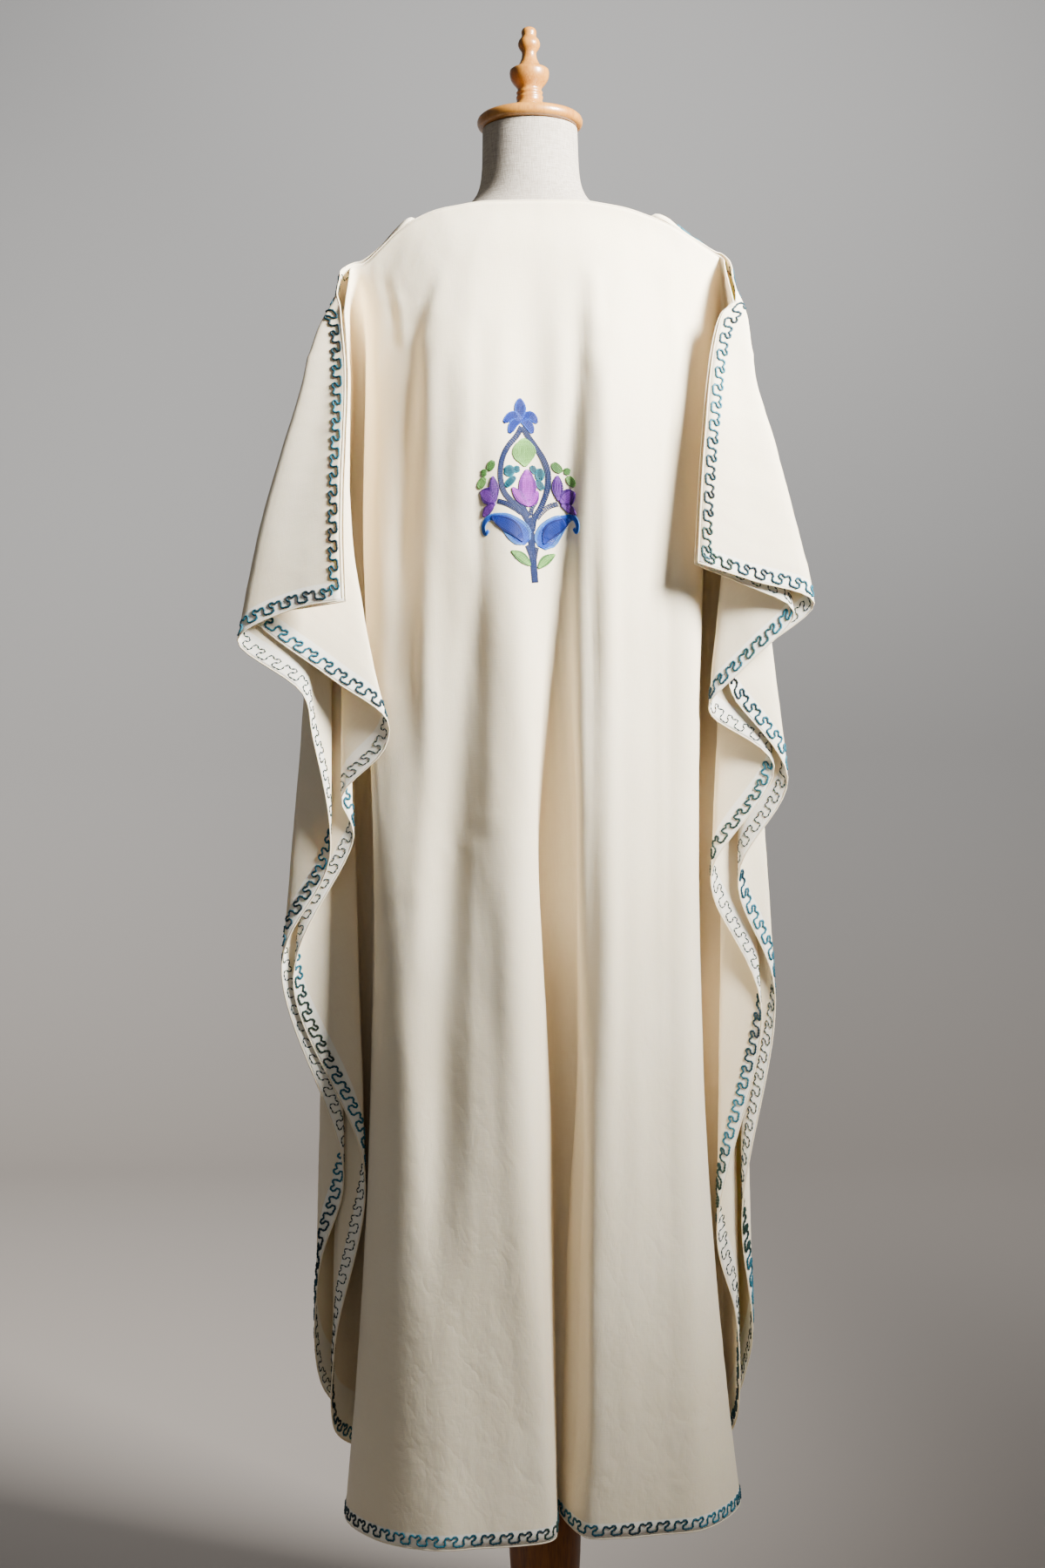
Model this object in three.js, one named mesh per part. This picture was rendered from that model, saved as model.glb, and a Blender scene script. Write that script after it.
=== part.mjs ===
// Kaftan on a dress form: two uncut rectangles of cloth, joined along the shoulders and down the
// sides, hanging from a limbless form on a turned wooden stand.
// Millimetres, +Z up, floor at Z = 0, the stand's axis on the Z axis. The kaftan's back faces -Y; its
// right side, seen from there, is +X.
import * as THREE from 'three';

// ---- Named sizes --------------------------------------------------------------------------------
const CLOTH = { halfWidth: 560, length: 1420, neckHalf: 117, bodyHalf: 200, wall: 1.2 };
const GRID = { fold: [0.14, 0.5, 0.86], body: [0.5], rows: 15 };
const NECK_DROP_FRONT = 150;
const HEM_BACK = 199;
const HEM_FRONT = 224;
const STAND_AXIS = 16; // the wooden stand's axis, this far in front of the shoulders' plane

const LINEN = { color: 0xf0ebdf, roughness: 0.88 };
const LINEN_FORM = { color: 0xcdc4b6, roughness: 0.9 };
const PINE = { color: 0xc98a45, roughness: 0.38 };
const WALNUT = { color: 0x4a2c1c, roughness: 0.42 };

// ---- Fold lines of the two wings ----------------------------------------------------------------
// A fold line starts on the panel's top edge, bent over the tip of the shoulder, and ends on the
// free edge. u0: start on the top edge. v, u: where on the cloth it ends, down the free side or, past
// the corner, along the hem. x, z: that end. late: how late the line leaves the plumb line through its
// start. bow: how far it bows in towards the body half way. y: the depth its layer hangs at, each layer
// farther than the one before, so that none change places. sway: what more it moves in depth by its
// end. out: its start moved outwards.
const line = (u0, v, u, x, z, late, bow, y, sway, out = 0) => ({ u0, v, u, x, z, late, bow, y, sway, out });
const W = CLOTH.halfWidth, L = CLOTH.length;

const BACK_LEFT = [
  line(296, 0, W, -198, 1193, 1.0, 0, -136, 0),     // shoulder seam, hanging
  line(288, 62, W, -246, 1187, 1.1, 0, -123, 0),
  line(280, 124, W, -296, 1180, 1.1, 0, -110, 0),   // outer fold
  line(273, 225, W, -216, 1114, 2.0, 0, -90, 0),
  line(266, 315, W, -159, 1070, 2.6, 0, -76, -8),   // crest that laps over the body
  line(259, 362, W, -163, 1040, 2.5, 0, -70, -6),
  line(252, 435, W, -211, 989, 2.0, 0, -56, 0),
  line(246, 487, W, -199, 948, 1.8, 0, -48, 0),
  line(240, 660, W, -268, 793, 1.6, 0, -27, 0),     // outer fold
  line(234, 895, W, -194, 576, 1.6, 0, -4, 0),      // crest at the body's side
  line(228, 1090, W, -230, 383, 1.4, 0, 10, 0),      // outer fold
  line(223, 1230, W, -233, 285, 1.4, 0, 20, 8),
  line(218, L, W, -199, 228, 1.4, 0, 34, 80),       // bottom corner, behind the body
  line(213, L, 440, -208, 205, 2.2, 18, 26, 29),    // side seam
  line(208, L, 354, -219, 199, 2.6, 24, -10, -2),   // side of the body at the hem
  line(204, L, 269, -172, 196, 1.6, 14, -50, -34),
];
const FRONT_LEFT = [
  line(296, 0, W, -201, 1194, 1.0, 0, -141, 0, 3),
  line(288, 80, W, -254, 1186, 1.0, 0, -128, 0, 4),
  line(280, 183, W, -314, 1155, 0.7, 0, -110, 0, 6),// outer fold of the sleeve
  line(272, 281, W, -248, 1099, 1.0, 0, -88, 0, 8),
  line(264, 348, W, -240, 1056, 1.1, 0, -72, 0, 8),
  line(257, 514, W, -225, 923, 1.1, 0, -50, 0, 8),
  line(250, 644, W, -280, 807, 1.1, 0, -28, 0, 8),  // outer fold
  line(243, 891, W, -217, 574, 1.2, 0, -4, 0, 8),
  line(236, 994, W, -246, 468, 1.2, 0, 6, 0, 9),    // outer fold
  line(229, 1180, W, -248, 340, 1.2, 0, 20, 4, 8),
  line(223, L, W, -189, 230, 1.4, 0, 50, 80, 5),    // bottom corner
  line(217, L, 440, -200, 206, 1.8, 25, 40, 17, 4), // side seam
  line(213, L, 400, -176, 212, 1.6, 12, 58, 22, 4),
  line(209, L, 350, -158, 216, 1.4, 8, 72, -5, 4),
  line(206, L, 300, -146, 220, 1.3, 4, 84, 39, 4),
  line(203, L, 250, -124, 222, 1.2, 2, 94, -9, 4),
];
const BACK_RIGHT = [
  line(296, 0, W, 168, 1230, 1.0, 0, -112, 0),
  line(288, 55, W, 222, 1209, 1.1, 0, -98, 0),
  line(280, 112, W, 275, 1181, 1.1, 0, -84, 0),     // outer fold
  line(273, 215, W, 228, 1128, 1.7, 0, -72, 0),
  line(266, 300, W, 186, 1085, 2.0, 0, -61, 0),     // crest by the body
  line(259, 336, W, 189, 1072, 2.0, 0, -54, 0),
  line(252, 430, W, 257, 1018, 1.6, 0, -36, 0),     // outer fold
  line(246, 540, W, 191, 908, 1.7, 0, -18, 0),
  line(240, 582, W, 192, 876, 1.7, 0, -11, 0),
  line(234, 700, W, 245, 754, 1.4, 0, 4, 0),        // outer fold
  line(229, 960, W, 195, 500, 1.4, 0, 18, 0),       // crest at the body's side
  line(224, 1065, W, 216, 405, 1.3, 0, 24, 0),
  line(220, 1190, W, 218, 300, 1.3, 0, 32, 6),
  line(216, L, W, 206, 222, 1.2, 0, 42, 84),        // bottom corner, behind the body
  line(212, L, 440, 199, 206, 2.2, 22, 34, 54),     // side seam
  line(208, L, 303, 219, 201, 2.6, 36, -8, 42),     // side of the body at the hem
  line(204, L, 250, 203, 198, 2.0, 30, -50, 34),
];
const FRONT_RIGHT = [
  line(296, 0, W, 171, 1231, 1.0, 0, -117, 0, 3),
  line(288, 70, W, 229, 1213, 1.0, 0, -103, 0, 4),
  line(280, 150, W, 296, 1190, 0.7, 0, -84, 0, 6),  // outer fold of the sleeve
  line(273, 275, W, 209, 1116, 1.3, 0, -60, 0, 6),
  line(266, 315, W, 211, 1096, 1.3, 0, -55, 0, 6),
  line(259, 425, W, 272, 1005, 1.2, 0, -36, 0, 7),  // outer fold
  line(252, 545, W, 219, 896, 1.1, 0, -15, 0, 8),
  line(245, 690, W, 260, 771, 1.1, 0, 4, 0, 9),     // outer fold
  line(238, 960, W, 223, 521, 1.1, 0, 17, 0, 9),
  line(231, 1120, W, 234, 380, 1.2, 0, 30, 0, 8),
  line(224, L, W, 204, 224, 1.3, 0, 58, 78, 5),     // bottom corner
  line(218, L, 440, 193, 207, 1.8, 26, 50, 42, 4),  // side seam
  line(213, L, 400, 172, 212, 1.6, 16, 66, 36, 4),
  line(209, L, 350, 158, 216, 1.4, 10, 80, 1, 4),
  line(206, L, 300, 146, 220, 1.3, 6, 90, 35, 4),
  line(203, L, 250, 124, 222, 1.2, 2, 96, -9, 4),
];

// ---- Sections of the body -----------------------------------------------------------------------
// Back, one row a level: v down from the top edge; the centre line (which sinks into one deep pleat
// towards the hem); the crest either side of it, crestU away along the cloth; the line 200 from the centre.
const BACK_BODY = [
  { v: 0, midX: 0, midY: -70, crestU: 70, leftX: -70, leftY: -68, rightX: 70, rightY: -68, sideL: -193, sideLY: -45, sideR: 200, sideRY: -45, drop: 0 },
  { v: 60, midX: 0, midY: -86, crestU: 70, leftX: -70, leftY: -84, rightX: 71, rightY: -84, sideL: -187, sideLY: -56, sideR: 192, sideRY: -56, drop: 0.036 },
  { v: 200, midX: 2, midY: -104, crestU: 68, leftX: -66, leftY: -115, rightX: 71, rightY: -115, sideL: -177, sideLY: -68, sideR: 180, sideRY: -68, drop: 0.136 },
  { v: 380, midX: 8, midY: -100, crestU: 60, leftX: -50, leftY: -112, rightX: 67, rightY: -112, sideL: -170, sideLY: -66, sideR: 172, sideRY: -68, drop: 0.266 },
  { v: 575, midX: 22, midY: -90, crestU: 52, leftX: -28, leftY: -102, rightX: 62, rightY: -100, sideL: -164, sideLY: -62, sideR: 168, sideRY: -64, drop: 0.404 },
  { v: 800, midX: 26, midY: -74, crestU: 58, leftX: -10, leftY: -106, rightX: 55, rightY: -102, sideL: -150, sideLY: -84, sideR: 163, sideRY: -74, drop: 0.563 },
  { v: 1100, midX: 18, midY: -44, crestU: 66, leftX: -2, leftY: -102, rightX: 50, rightY: -96, sideL: -128, sideLY: -106, sideR: 164, sideRY: -70, drop: 0.774 },
  { v: 1420, midX: 16, midY: -30, crestU: 72, leftX: 8, leftY: -88, rightX: 48, rightY: -80, sideL: -110, sideLY: -117, sideR: 168, sideRY: -60, drop: 1 },
];
// Front, one row a level: the centre line, the line 100 out (over the bust), the line 200 out.
const FRONT_BODY = [
  { v: 0, mid: -70, bust: -68, sideX: 197, side: -49, wave: 0, drop: 0 },
  { v: 40, mid: -30, bust: -30, sideX: 199, side: -10, wave: 0, drop: -0.004 },
  { v: 92, mid: 34, bust: 26, sideX: 200, side: 32, wave: 0, drop: 0.016 },
  { v: 150, mid: 76, bust: 72, sideX: 198, side: 58, wave: 0, drop: 0.050 },
  { v: 230, mid: 104, bust: 112, sideX: 192, side: 76, wave: 2, drop: 0.104 },
  { v: 330, mid: 122, bust: 138, sideX: 184, side: 90, wave: 4, drop: 0.177 },
  { v: 520, mid: 120, bust: 134, sideX: 172, side: 98, wave: 7, drop: 0.322 },
  { v: 760, mid: 118, bust: 130, sideX: 152, side: 108, wave: 11, drop: 0.504 },
  { v: 1080, mid: 120, bust: 130, sideX: 124, side: 118, wave: 16, drop: 0.746 },
  { v: 1420, mid: 120, bust: 130, sideX: 104, side: 124, wave: 22, drop: 1 },
];

// ---- Small tools --------------------------------------------------------------------------------
const lerp = (a, b, t) => a + (b - a) * t;
const add = (a, b, k = 1) => [a[0] + b[0] * k, a[1] + b[1] * k, a[2] + b[2] * k];
const dist = (a, b) => Math.hypot(a[0] - b[0], a[1] - b[1], a[2] - b[2]);

// A smooth curve through rows, keyed by one column, each other column on its own cubic.
function along(rows, key, at) {
  let i = 0;
  while (i < rows.length - 2 && rows[i + 1][key] < at) i++;
  const p = (k) => rows[Math.max(0, Math.min(rows.length - 1, k))];
  const a = p(i), b = p(i + 1), span = b[key] - a[key], t = (at - a[key]) / span;
  const out = {};
  for (const name of Object.keys(a)) {
    const slope = (k) => {
      const lo = p(k - 1), hi = p(k + 1);
      return (hi[name] - lo[name]) / (hi[key] - lo[key]) * span;
    };
    const t2 = t * t, t3 = t2 * t;
    out[name] = (2 * t3 - 3 * t2 + 1) * a[name] + (t3 - 2 * t2 + t) * slope(i)
      + (3 * t2 - 2 * t3) * b[name] + (t3 - t2) * slope(i + 1);
  }
  return out;
}

// Centripetal Catmull-Rom between points b and c.
function between(a, b, c, d, t) {
  const k0 = 0, k1 = k0 + Math.max(1e-3, Math.sqrt(dist(a, b))), k2 = k1 + Math.max(1e-3, Math.sqrt(dist(b, c)));
  const k3 = k2 + Math.max(1e-3, Math.sqrt(dist(c, d))), k = lerp(k1, k2, t);
  const mix = (p, q, from, to) => p.map((value, n) => lerp(value, q[n], (k - from) / (to - from)));
  const ab = mix(a, b, k0, k1), bc = mix(b, c, k1, k2), cd = mix(c, d, k2, k3);
  return mix(mix(ab, bc, k0, k2), mix(bc, cd, k1, k3), k1, k2);
}

// ---- The cloth's form ---------------------------------------------------------------------------
// The top edge: level across the back of the neck, falling to the shoulder tip, then bent down
// over it, so that the fold lines leave it one beside the other.
function topEdge(side, u) {
  const tipX = side < 0 ? 193 : 200, tipZ = side < 0 ? 1577 : 1583;
  if (u <= CLOTH.neckHalf) return [side * u, -70 + 8 * (u / CLOTH.neckHalf) ** 2, 1625];
  if (u <= CLOTH.bodyHalf) {
    const t = (u - CLOTH.neckHalf) / (CLOTH.bodyHalf - CLOTH.neckHalf);
    return [side * lerp(CLOTH.neckHalf, tipX, t), lerp(-62, -45, t), lerp(1625, tipZ, t ** 1.35)];
  }
  const bend = (u - CLOTH.bodyHalf) / 96, round = Math.sin(Math.min(1, bend / 0.25) * Math.PI / 2);
  return [side * (tipX + 14 * round), -45 - 48 * Math.max(0, (bend - 0.12) / 0.88), tipZ - 70 * bend ** 1.5];
}

// A layer leaves the shoulder and soon reaches its own depth, so the folded layers never change places.
function wingPoint(row, side, lift, t) {
  const start = add(topEdge(side, row.u0), [0, lift * Math.max(0, 1 - (row.u0 - CLOTH.bodyHalf) / 24), lift]);
  const x = start[0] + side * row.out, z = lerp(start[2], row.z, t);
  const fall = 1 - Math.exp(-(((start[2] - z) / 150) ** 1.3));
  return [
    lerp(x, row.x, t ** row.late) - side * row.bow * 4 * t * (1 - t),
    lerp(start[1], row.y, fall) + row.sway * t ** 3,
    z,
  ];
}

function backBodyPoint(u, t) {
  const v = L * t, s = along(BACK_BODY, 'v', v), side = u < 0 ? -1 : 1;
  const rim = topEdge(side, Math.min(Math.abs(u), 200));
  const reach = [
    { u: -200, x: s.sideL, y: s.sideLY }, { u: -s.crestU, x: s.leftX, y: s.leftY },
    { u: 0, x: s.midX, y: s.midY },
    { u: s.crestU, x: s.rightX, y: s.rightY }, { u: 200, x: s.sideR, y: s.sideRY },
  ];
  const p = along(reach, 'u', u), near = Math.max(0, 1 - t / 0.05) ** 2;
  return [lerp(p.x, rim[0], near), lerp(p.y, rim[1], near), lerp(rim[2], HEM_BACK + 12 * Math.exp(-((u / 42) ** 2)) - 2, s.drop)];
}

function frontBodyPoint(u, t) {
  const a = Math.abs(u), side = u < 0 ? -1 : 1;
  const cut = a < CLOTH.neckHalf ? NECK_DROP_FRONT * Math.sqrt(1 - (a / CLOTH.neckHalf) ** 2) : 0;
  const v = lerp(cut, L, t), s = along(FRONT_BODY, 'v', v);
  const rim = topEdge(side, Math.min(a, 200));
  const reach = [
    { u: 0, y: s.mid, x: 0 }, { u: 100, y: s.bust, x: s.sideX * 0.52 }, { u: 200, y: s.side, x: s.sideX },
  ];
  const p = along(reach, 'u', a);
  const near = Math.max(0, 1 - t / 0.06) ** 2;
  return [side * lerp(p.x * (side < 0 ? 0.97 : 1), Math.abs(rim[0]) + 5, near * (a / CLOTH.bodyHalf) ** 4), lerp(p.y, rim[1] + 3, near * (a > CLOTH.neckHalf ? 1 : 0)) + s.wave * Math.cos(u * Math.PI / 66), lerp(rim[2], HEM_FRONT, s.drop)];
}

// A panel as a grid of points: fold lines of the left wing, lines of the body, lines of the right wing.
function panelGrid(bodyPoint, left, right, bodyLines, lift) {
  const lines = [
    ...left.map((row) => (t) => wingPoint(row, -1, lift, t)),
    ...bodyLines.map((u) => (t) => bodyPoint(u, t)),
    ...right.slice().reverse().map((row) => (t) => wingPoint(row, 1, lift, t)),
  ];
  const corner = (rows) => rows.findIndex((row) => row.v === L);
  const corners = [corner(left), lines.length - 1 - corner(right)];
  const grid = [];
  for (let j = 0; j <= GRID.rows; j++) {
    const t = (j / GRID.rows) ** 1.15;
    const knots = lines.map((at) => at(t));
    const knot = (k) => {
      if (k < 0) return add(knots[0], add(knots[0], knots[1], -1));
      if (k >= knots.length) return add(knots.at(-1), add(knots.at(-1), knots.at(-2), -1));
      return knots[k];
    };
    const row = [];
    for (let k = 0; k < knots.length - 1; k++) {
      if (k === 0 || corners.includes(k)) row.push(knots[k]);
      const inBody = k >= left.length - 1 && k < knots.length - right.length;
      for (const n of inBody ? GRID.body : GRID.fold) row.push(between(knot(k - 1), knot(k), knot(k + 1), knot(k + 2), n));
    }
    row.push(knots.at(-1));
    grid.push(row);
  }
  return grid;
}

// A closed wall round a grid of points: half its thickness out, half in, and a rim.
function wallOf(grid, wall) {
  const rows = grid.length, cols = grid[0].length, at = (j, i) => new THREE.Vector3(...grid[j][i]);
  const outer = [], inner = [];
  for (let j = 0; j < rows; j++) {
    for (let i = 0; i < cols; i++) {
      const across = at(j, Math.min(i + 1, cols - 1)).sub(at(j, Math.max(i - 1, 0))).normalize();
      const down = at(Math.min(j + 1, rows - 1), i).sub(at(Math.max(j - 1, 0), i)).normalize();
      const out = down.cross(across).normalize().multiplyScalar(wall / 2);
      outer.push(at(j, i).add(out));
      inner.push(at(j, i).sub(out));
    }
  }
  const points = [...outer, ...inner], half = outer.length, faces = [];
  const quad = (a, b, c, d) => {
    if (points[a].distanceTo(points[c]) <= points[b].distanceTo(points[d])) faces.push(a, b, c, a, c, d);
    else faces.push(a, b, d, b, c, d);
  };
  for (let j = 0; j < rows - 1; j++) {
    for (let i = 0; i < cols - 1; i++) {
      const a = j * cols + i, b = a + 1, c = a + cols + 1, d = a + cols;
      quad(a, d, c, b);
      quad(half + a, half + b, half + c, half + d);
    }
  }
  const edge = (a, b) => quad(a, b, half + b, half + a);
  for (let i = 0; i < cols - 1; i++) {
    edge(i, i + 1);
    edge((rows - 1) * cols + i + 1, (rows - 1) * cols + i);
  }
  for (let j = 0; j < rows - 1; j++) {
    edge((j + 1) * cols, j * cols);
    edge(j * cols + cols - 1, (j + 1) * cols + cols - 1);
  }
  const geometry = new THREE.BufferGeometry();
  geometry.setAttribute('position', new THREE.Float32BufferAttribute(points.flatMap((p) => p.toArray()), 3));
  geometry.setIndex(faces);
  geometry.computeVertexNormals();
  return geometry;
}

// ---- The form: closed sections, one row a level -------------------------------------------------
const FORM_SECTIONS = [
  { z: 862, half: 96, back: -36, front: 50 },
  { z: 869, half: 124, back: -52, front: 68 },
  { z: 890, half: 138, back: -62, front: 78 },
  { z: 960, half: 138, back: -66, front: 82 },
  { z: 1040, half: 124, back: -62, front: 82 },
  { z: 1120, half: 132, back: -74, front: 92 },
  { z: 1220, half: 150, back: -84, front: 108 },
  { z: 1330, half: 160, back: -92, front: 114 },
  { z: 1430, half: 166, back: -94, front: 92 },
  { z: 1500, half: 168, back: -86, front: 58 },
  { z: 1545, half: 160, back: -70, front: 40 },
  { z: 1576, half: 138, back: -60, front: 30 },
  { z: 1600, half: 104, back: -54, front: 32 },
  { z: 1622, half: 74, back: -52, front: 40 },
  { z: 1648, half: 58, back: -52, front: 48 },
  { z: 1690, half: 53, back: -50, front: 50 },
  { z: 1722, half: 52.5, back: -51, front: 51 },
];
function formGeometry(sections, around = 26) {
  const points = [], faces = [];
  for (const s of sections) {
    for (let i = 0; i < around; i++) {
      const angle = i / around * 2 * Math.PI, c = Math.cos(angle), d = Math.sin(angle);
      points.push(s.half * Math.sign(c) * Math.abs(c) ** 0.92, lerp(s.back, s.front, 0.5) + (s.front - s.back) / 2 * Math.sign(d) * Math.abs(d) ** 0.92, s.z);
    }
  }
  for (let j = 0; j < sections.length - 1; j++) {
    for (let i = 0; i < around; i++) {
      const a = j * around + i, b = j * around + (i + 1) % around;
      faces.push(a, b, b + around, a, b + around, a + around);
    }
  }
  for (const [ring, up] of [[0, false], [sections.length - 1, true]]) {
    const s = sections[ring], middle = points.length / 3;
    points.push(0, lerp(s.back, s.front, 0.5), s.z);
    for (let i = 0; i < around; i++) {
      const a = ring * around + i, b = ring * around + (i + 1) % around;
      faces.push(...(up ? [a, b, middle] : [b, a, middle]));
    }
  }
  const geometry = new THREE.BufferGeometry();
  geometry.setAttribute('position', new THREE.Float32BufferAttribute(points, 3));
  geometry.setIndex(faces);
  geometry.computeVertexNormals();
  return geometry;
}

// ---- Turned wood: profile rows of radius and height, from the bottom up -------------------------
const turned = (rows, around) => {
  const profile = [[0, rows[0][1]], ...rows, [0, rows.at(-1)[1]]].map(([r, z]) => new THREE.Vector2(r, z));
  return new THREE.LatheGeometry(profile, around).rotateX(Math.PI / 2);
};
const BASE_PROFILE = [[176, 0], [180, 3], [180, 16], [174, 22], [150, 26], [60, 30], [52, 34]];
const COLUMN_PROFILE = [[30, 34.3], [34, 44], [26, 56], [31, 72], [36, 104], [39.5, 150], [40.5, 200], [39, 260], [33, 340], [26, 430], [22, 520], [20, 640], [22, 680], [27, 690], [22, 702], [20, 740], [20, 861.7]];
const CAP_PROFILE = [[50, 1722.3], [56, 1724], [58, 1729], [57, 1734], [50, 1737.5], [24, 1740]];
const FINIAL_PROFILE = [[21, 1740.3], [20.5, 1744], [16, 1750], [14, 1753], [14.6, 1757.5], [13, 1759.5], [14.6, 1762], [13, 1766], [17, 1771], [21, 1777], [21.8, 1783], [21, 1788], [13, 1792], [9.5, 1797], [7.8, 1805], [9, 1809], [12.2, 1815], [11.5, 1820], [7.8, 1824.5], [8.3, 1829], [7, 1833], [4, 1834.5]];

// ---- The scene graph ----------------------------------------------------------------------------
const kaftan = new THREE.Group();
const put = (name, geometry, look) => {
  const mesh = new THREE.Mesh(geometry, new THREE.MeshStandardMaterial({ metalness: 0, ...look }));
  mesh.name = name;
  kaftan.add(mesh);
};
const backLines = [-200, -155, -110, -70, -35, 0, 35, 70, 110, 155, 200];
const frontLines = [-200, -165, -132, -99, -66, -33, 0, 33, 66, 99, 132, 165, 200];
put('kaftan_back', wallOf(panelGrid(backBodyPoint, BACK_LEFT, BACK_RIGHT, backLines, 0), CLOTH.wall), LINEN);
put('kaftan_front', wallOf(panelGrid(frontBodyPoint, FRONT_LEFT, FRONT_RIGHT, frontLines, 3).map((row) => row.slice().reverse()), CLOTH.wall), LINEN);
put('form_torso', formGeometry(FORM_SECTIONS), LINEN_FORM);
put('neck_cap', turned(CAP_PROFILE, 32), PINE);
put('finial', turned(FINIAL_PROFILE, 20), PINE);
put('stand_column', turned(COLUMN_PROFILE, 24).translate(0, STAND_AXIS, 0), WALNUT);
put('stand_base', turned(BASE_PROFILE, 40).translate(0, STAND_AXIS, 0), WALNUT);

kaftan.position.y = -STAND_AXIS; // the origin is on the stand's axis, at the floor

export default kaftan;
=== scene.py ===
# %% [markdown]
# # A kaftan on its dress form
# Two uncut rectangles of ivory cloth, joined along the shoulders and down the sides, hang from a
# limbless form on a turned wooden stand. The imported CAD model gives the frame. Here the cloth gets
# its fine surface, and the thread, the covered form and the turned wood are built round it.

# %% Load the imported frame
import math

import bmesh
import bpy
import numpy as np
from mathutils import Matrix, Vector, noise
from mathutils.bvhtree import BVHTree


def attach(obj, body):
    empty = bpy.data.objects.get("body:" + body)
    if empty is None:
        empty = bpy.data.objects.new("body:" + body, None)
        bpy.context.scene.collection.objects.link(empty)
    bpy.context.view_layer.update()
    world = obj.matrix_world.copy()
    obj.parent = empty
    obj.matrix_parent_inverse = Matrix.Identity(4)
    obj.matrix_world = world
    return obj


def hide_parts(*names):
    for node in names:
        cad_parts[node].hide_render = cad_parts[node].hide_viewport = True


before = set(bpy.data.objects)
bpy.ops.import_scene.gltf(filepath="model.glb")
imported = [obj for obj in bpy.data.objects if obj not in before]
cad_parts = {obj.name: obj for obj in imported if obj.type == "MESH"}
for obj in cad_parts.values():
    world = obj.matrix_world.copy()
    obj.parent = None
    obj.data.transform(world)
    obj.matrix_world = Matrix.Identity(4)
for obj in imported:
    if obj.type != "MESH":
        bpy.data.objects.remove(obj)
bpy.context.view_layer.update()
MM = 0.001
STAND_AXIS = 16
print("nodes:", sorted(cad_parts))

# %% [markdown]
# ## Camera
# A long lens set level with the waist, square on to the kaftan's back and turned by half a degree.
# A level camera keeps the stand upright without any correction, so the shift is close to nothing.

# %% Camera
EYE, TURN = (-0.0159, -2.416, 0.996), -0.0107
camera_data = bpy.data.cameras.new("camera")
camera_data.sensor_fit = "VERTICAL"
camera_data.sensor_height = 36
camera_data.lens = 50
camera_data.shift_y = 0.0028
camera = bpy.data.objects.new("camera", camera_data)
bpy.context.scene.collection.objects.link(camera)
camera.location = EYE
level = Matrix.Rotation(math.pi / 2, 4, "X") @ Matrix.Rotation(TURN, 4, "Z")
camera.rotation_euler = level.to_euler()
bpy.context.scene.camera = camera
print("camera at", EYE)

# %% [markdown]
# ## Small helpers for materials
# Every finish is a Principled shader with a few procedural nodes. One helper makes the shader, and
# another adds and joins a node. The rest name the few nodes that nearly every finish here needs,
# so that each recipe below reads as a list of what it contains.

# %% Material helpers
def finish(name, **sockets):
    """A Principled material; an underscore stands for each space in a socket's name."""
    material = bpy.data.materials.new(name)
    material.use_nodes = True
    shader = material.node_tree.nodes["Principled BSDF"]
    for socket, value in sockets.items():
        shader.inputs[socket.replace("_", " ")].default_value = value
    return material, material.node_tree, shader


def node(tree, kind, inputs=None, **settings):
    made = tree.nodes.new(kind)
    for key, value in settings.items():
        setattr(made, key, value)
    for key, value in (inputs or {}).items():
        socket = made.inputs[key]
        if kind == "ShaderNodeMix" and key in "AB":
            socket = [s for s in made.inputs if s.name == key and s.type == "RGBA"][0]
        if isinstance(value, bpy.types.NodeSocket):
            tree.links.new(value, socket)
        else:
            socket.default_value = value
    return made


def ramp(tree, factor, stops):
    made = node(tree, "ShaderNodeValToRGB", {"Fac": factor})
    while len(made.color_ramp.elements) < len(stops):
        made.color_ramp.elements.new(0.5)
    for element, (place, colour) in zip(made.color_ramp.elements, stops):
        element.position = place
        element.color = (*colour, 1)
    return made.outputs["Color"]


def maths(tree, operation, *values):
    return node(tree, "ShaderNodeMath", dict(enumerate(values)), operation=operation).outputs["Value"]


def stretched(tree, where, scale):
    return node(tree, "ShaderNodeMapping", {"Vector": where, "Scale": scale}).outputs["Vector"]


def cloudy(tree, where, scale=1.0, detail=2.0, distortion=0.0):
    return node(tree, "ShaderNodeTexNoise", {"Vector": where, "Scale": scale, "Detail": detail,
                                             "Distortion": distortion}).outputs["Fac"]


def ranged(tree, value, low, high, first=0.0, last=1.0):
    return node(tree, "ShaderNodeMapRange", {"Value": value, "From Min": low, "From Max": high,
                                             "To Min": first, "To Max": last}).outputs["Result"]


def weave(tree, where, warp, weft):
    """Slubby yarns that cross: noise drawn out along the warp, plus noise along the weft."""
    return maths(tree, "ADD", cloudy(tree, stretched(tree, where, warp), detail=3.0),
                 cloudy(tree, stretched(tree, where, weft), detail=3.0))


def bump(tree, shader, height, strength, distance):
    """A relief, laid over the one that the shader already has."""
    made = node(tree, "ShaderNodeBump", {"Strength": strength, "Distance": distance, "Height": height})
    for link in shader.inputs["Normal"].links:
        tree.links.new(link.from_socket, made.inputs["Normal"])
    tree.links.new(made.outputs["Normal"], shader.inputs["Normal"])


print("material helpers ready")

# %% [markdown]
# ## Studio
# A single swept sheet makes both floor and wall, so that no line shows where they meet. It is a
# profile of a few vertices, rounded by a bevel and extruded sideways.

# %% Backdrop
FLOOR_START, WALL, WALL_TOP = -6.0, 4.4, 6.0
SWEEP_WIDTH, SWEEP_ROUND = 11.0, 1.1
FLOOR_GREY, MIDDLE_GREY, WALL_GREY = (0.36, 0.325, 0.295), (0.45, 0.437, 0.425), (0.47, 0.465, 0.46)


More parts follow.
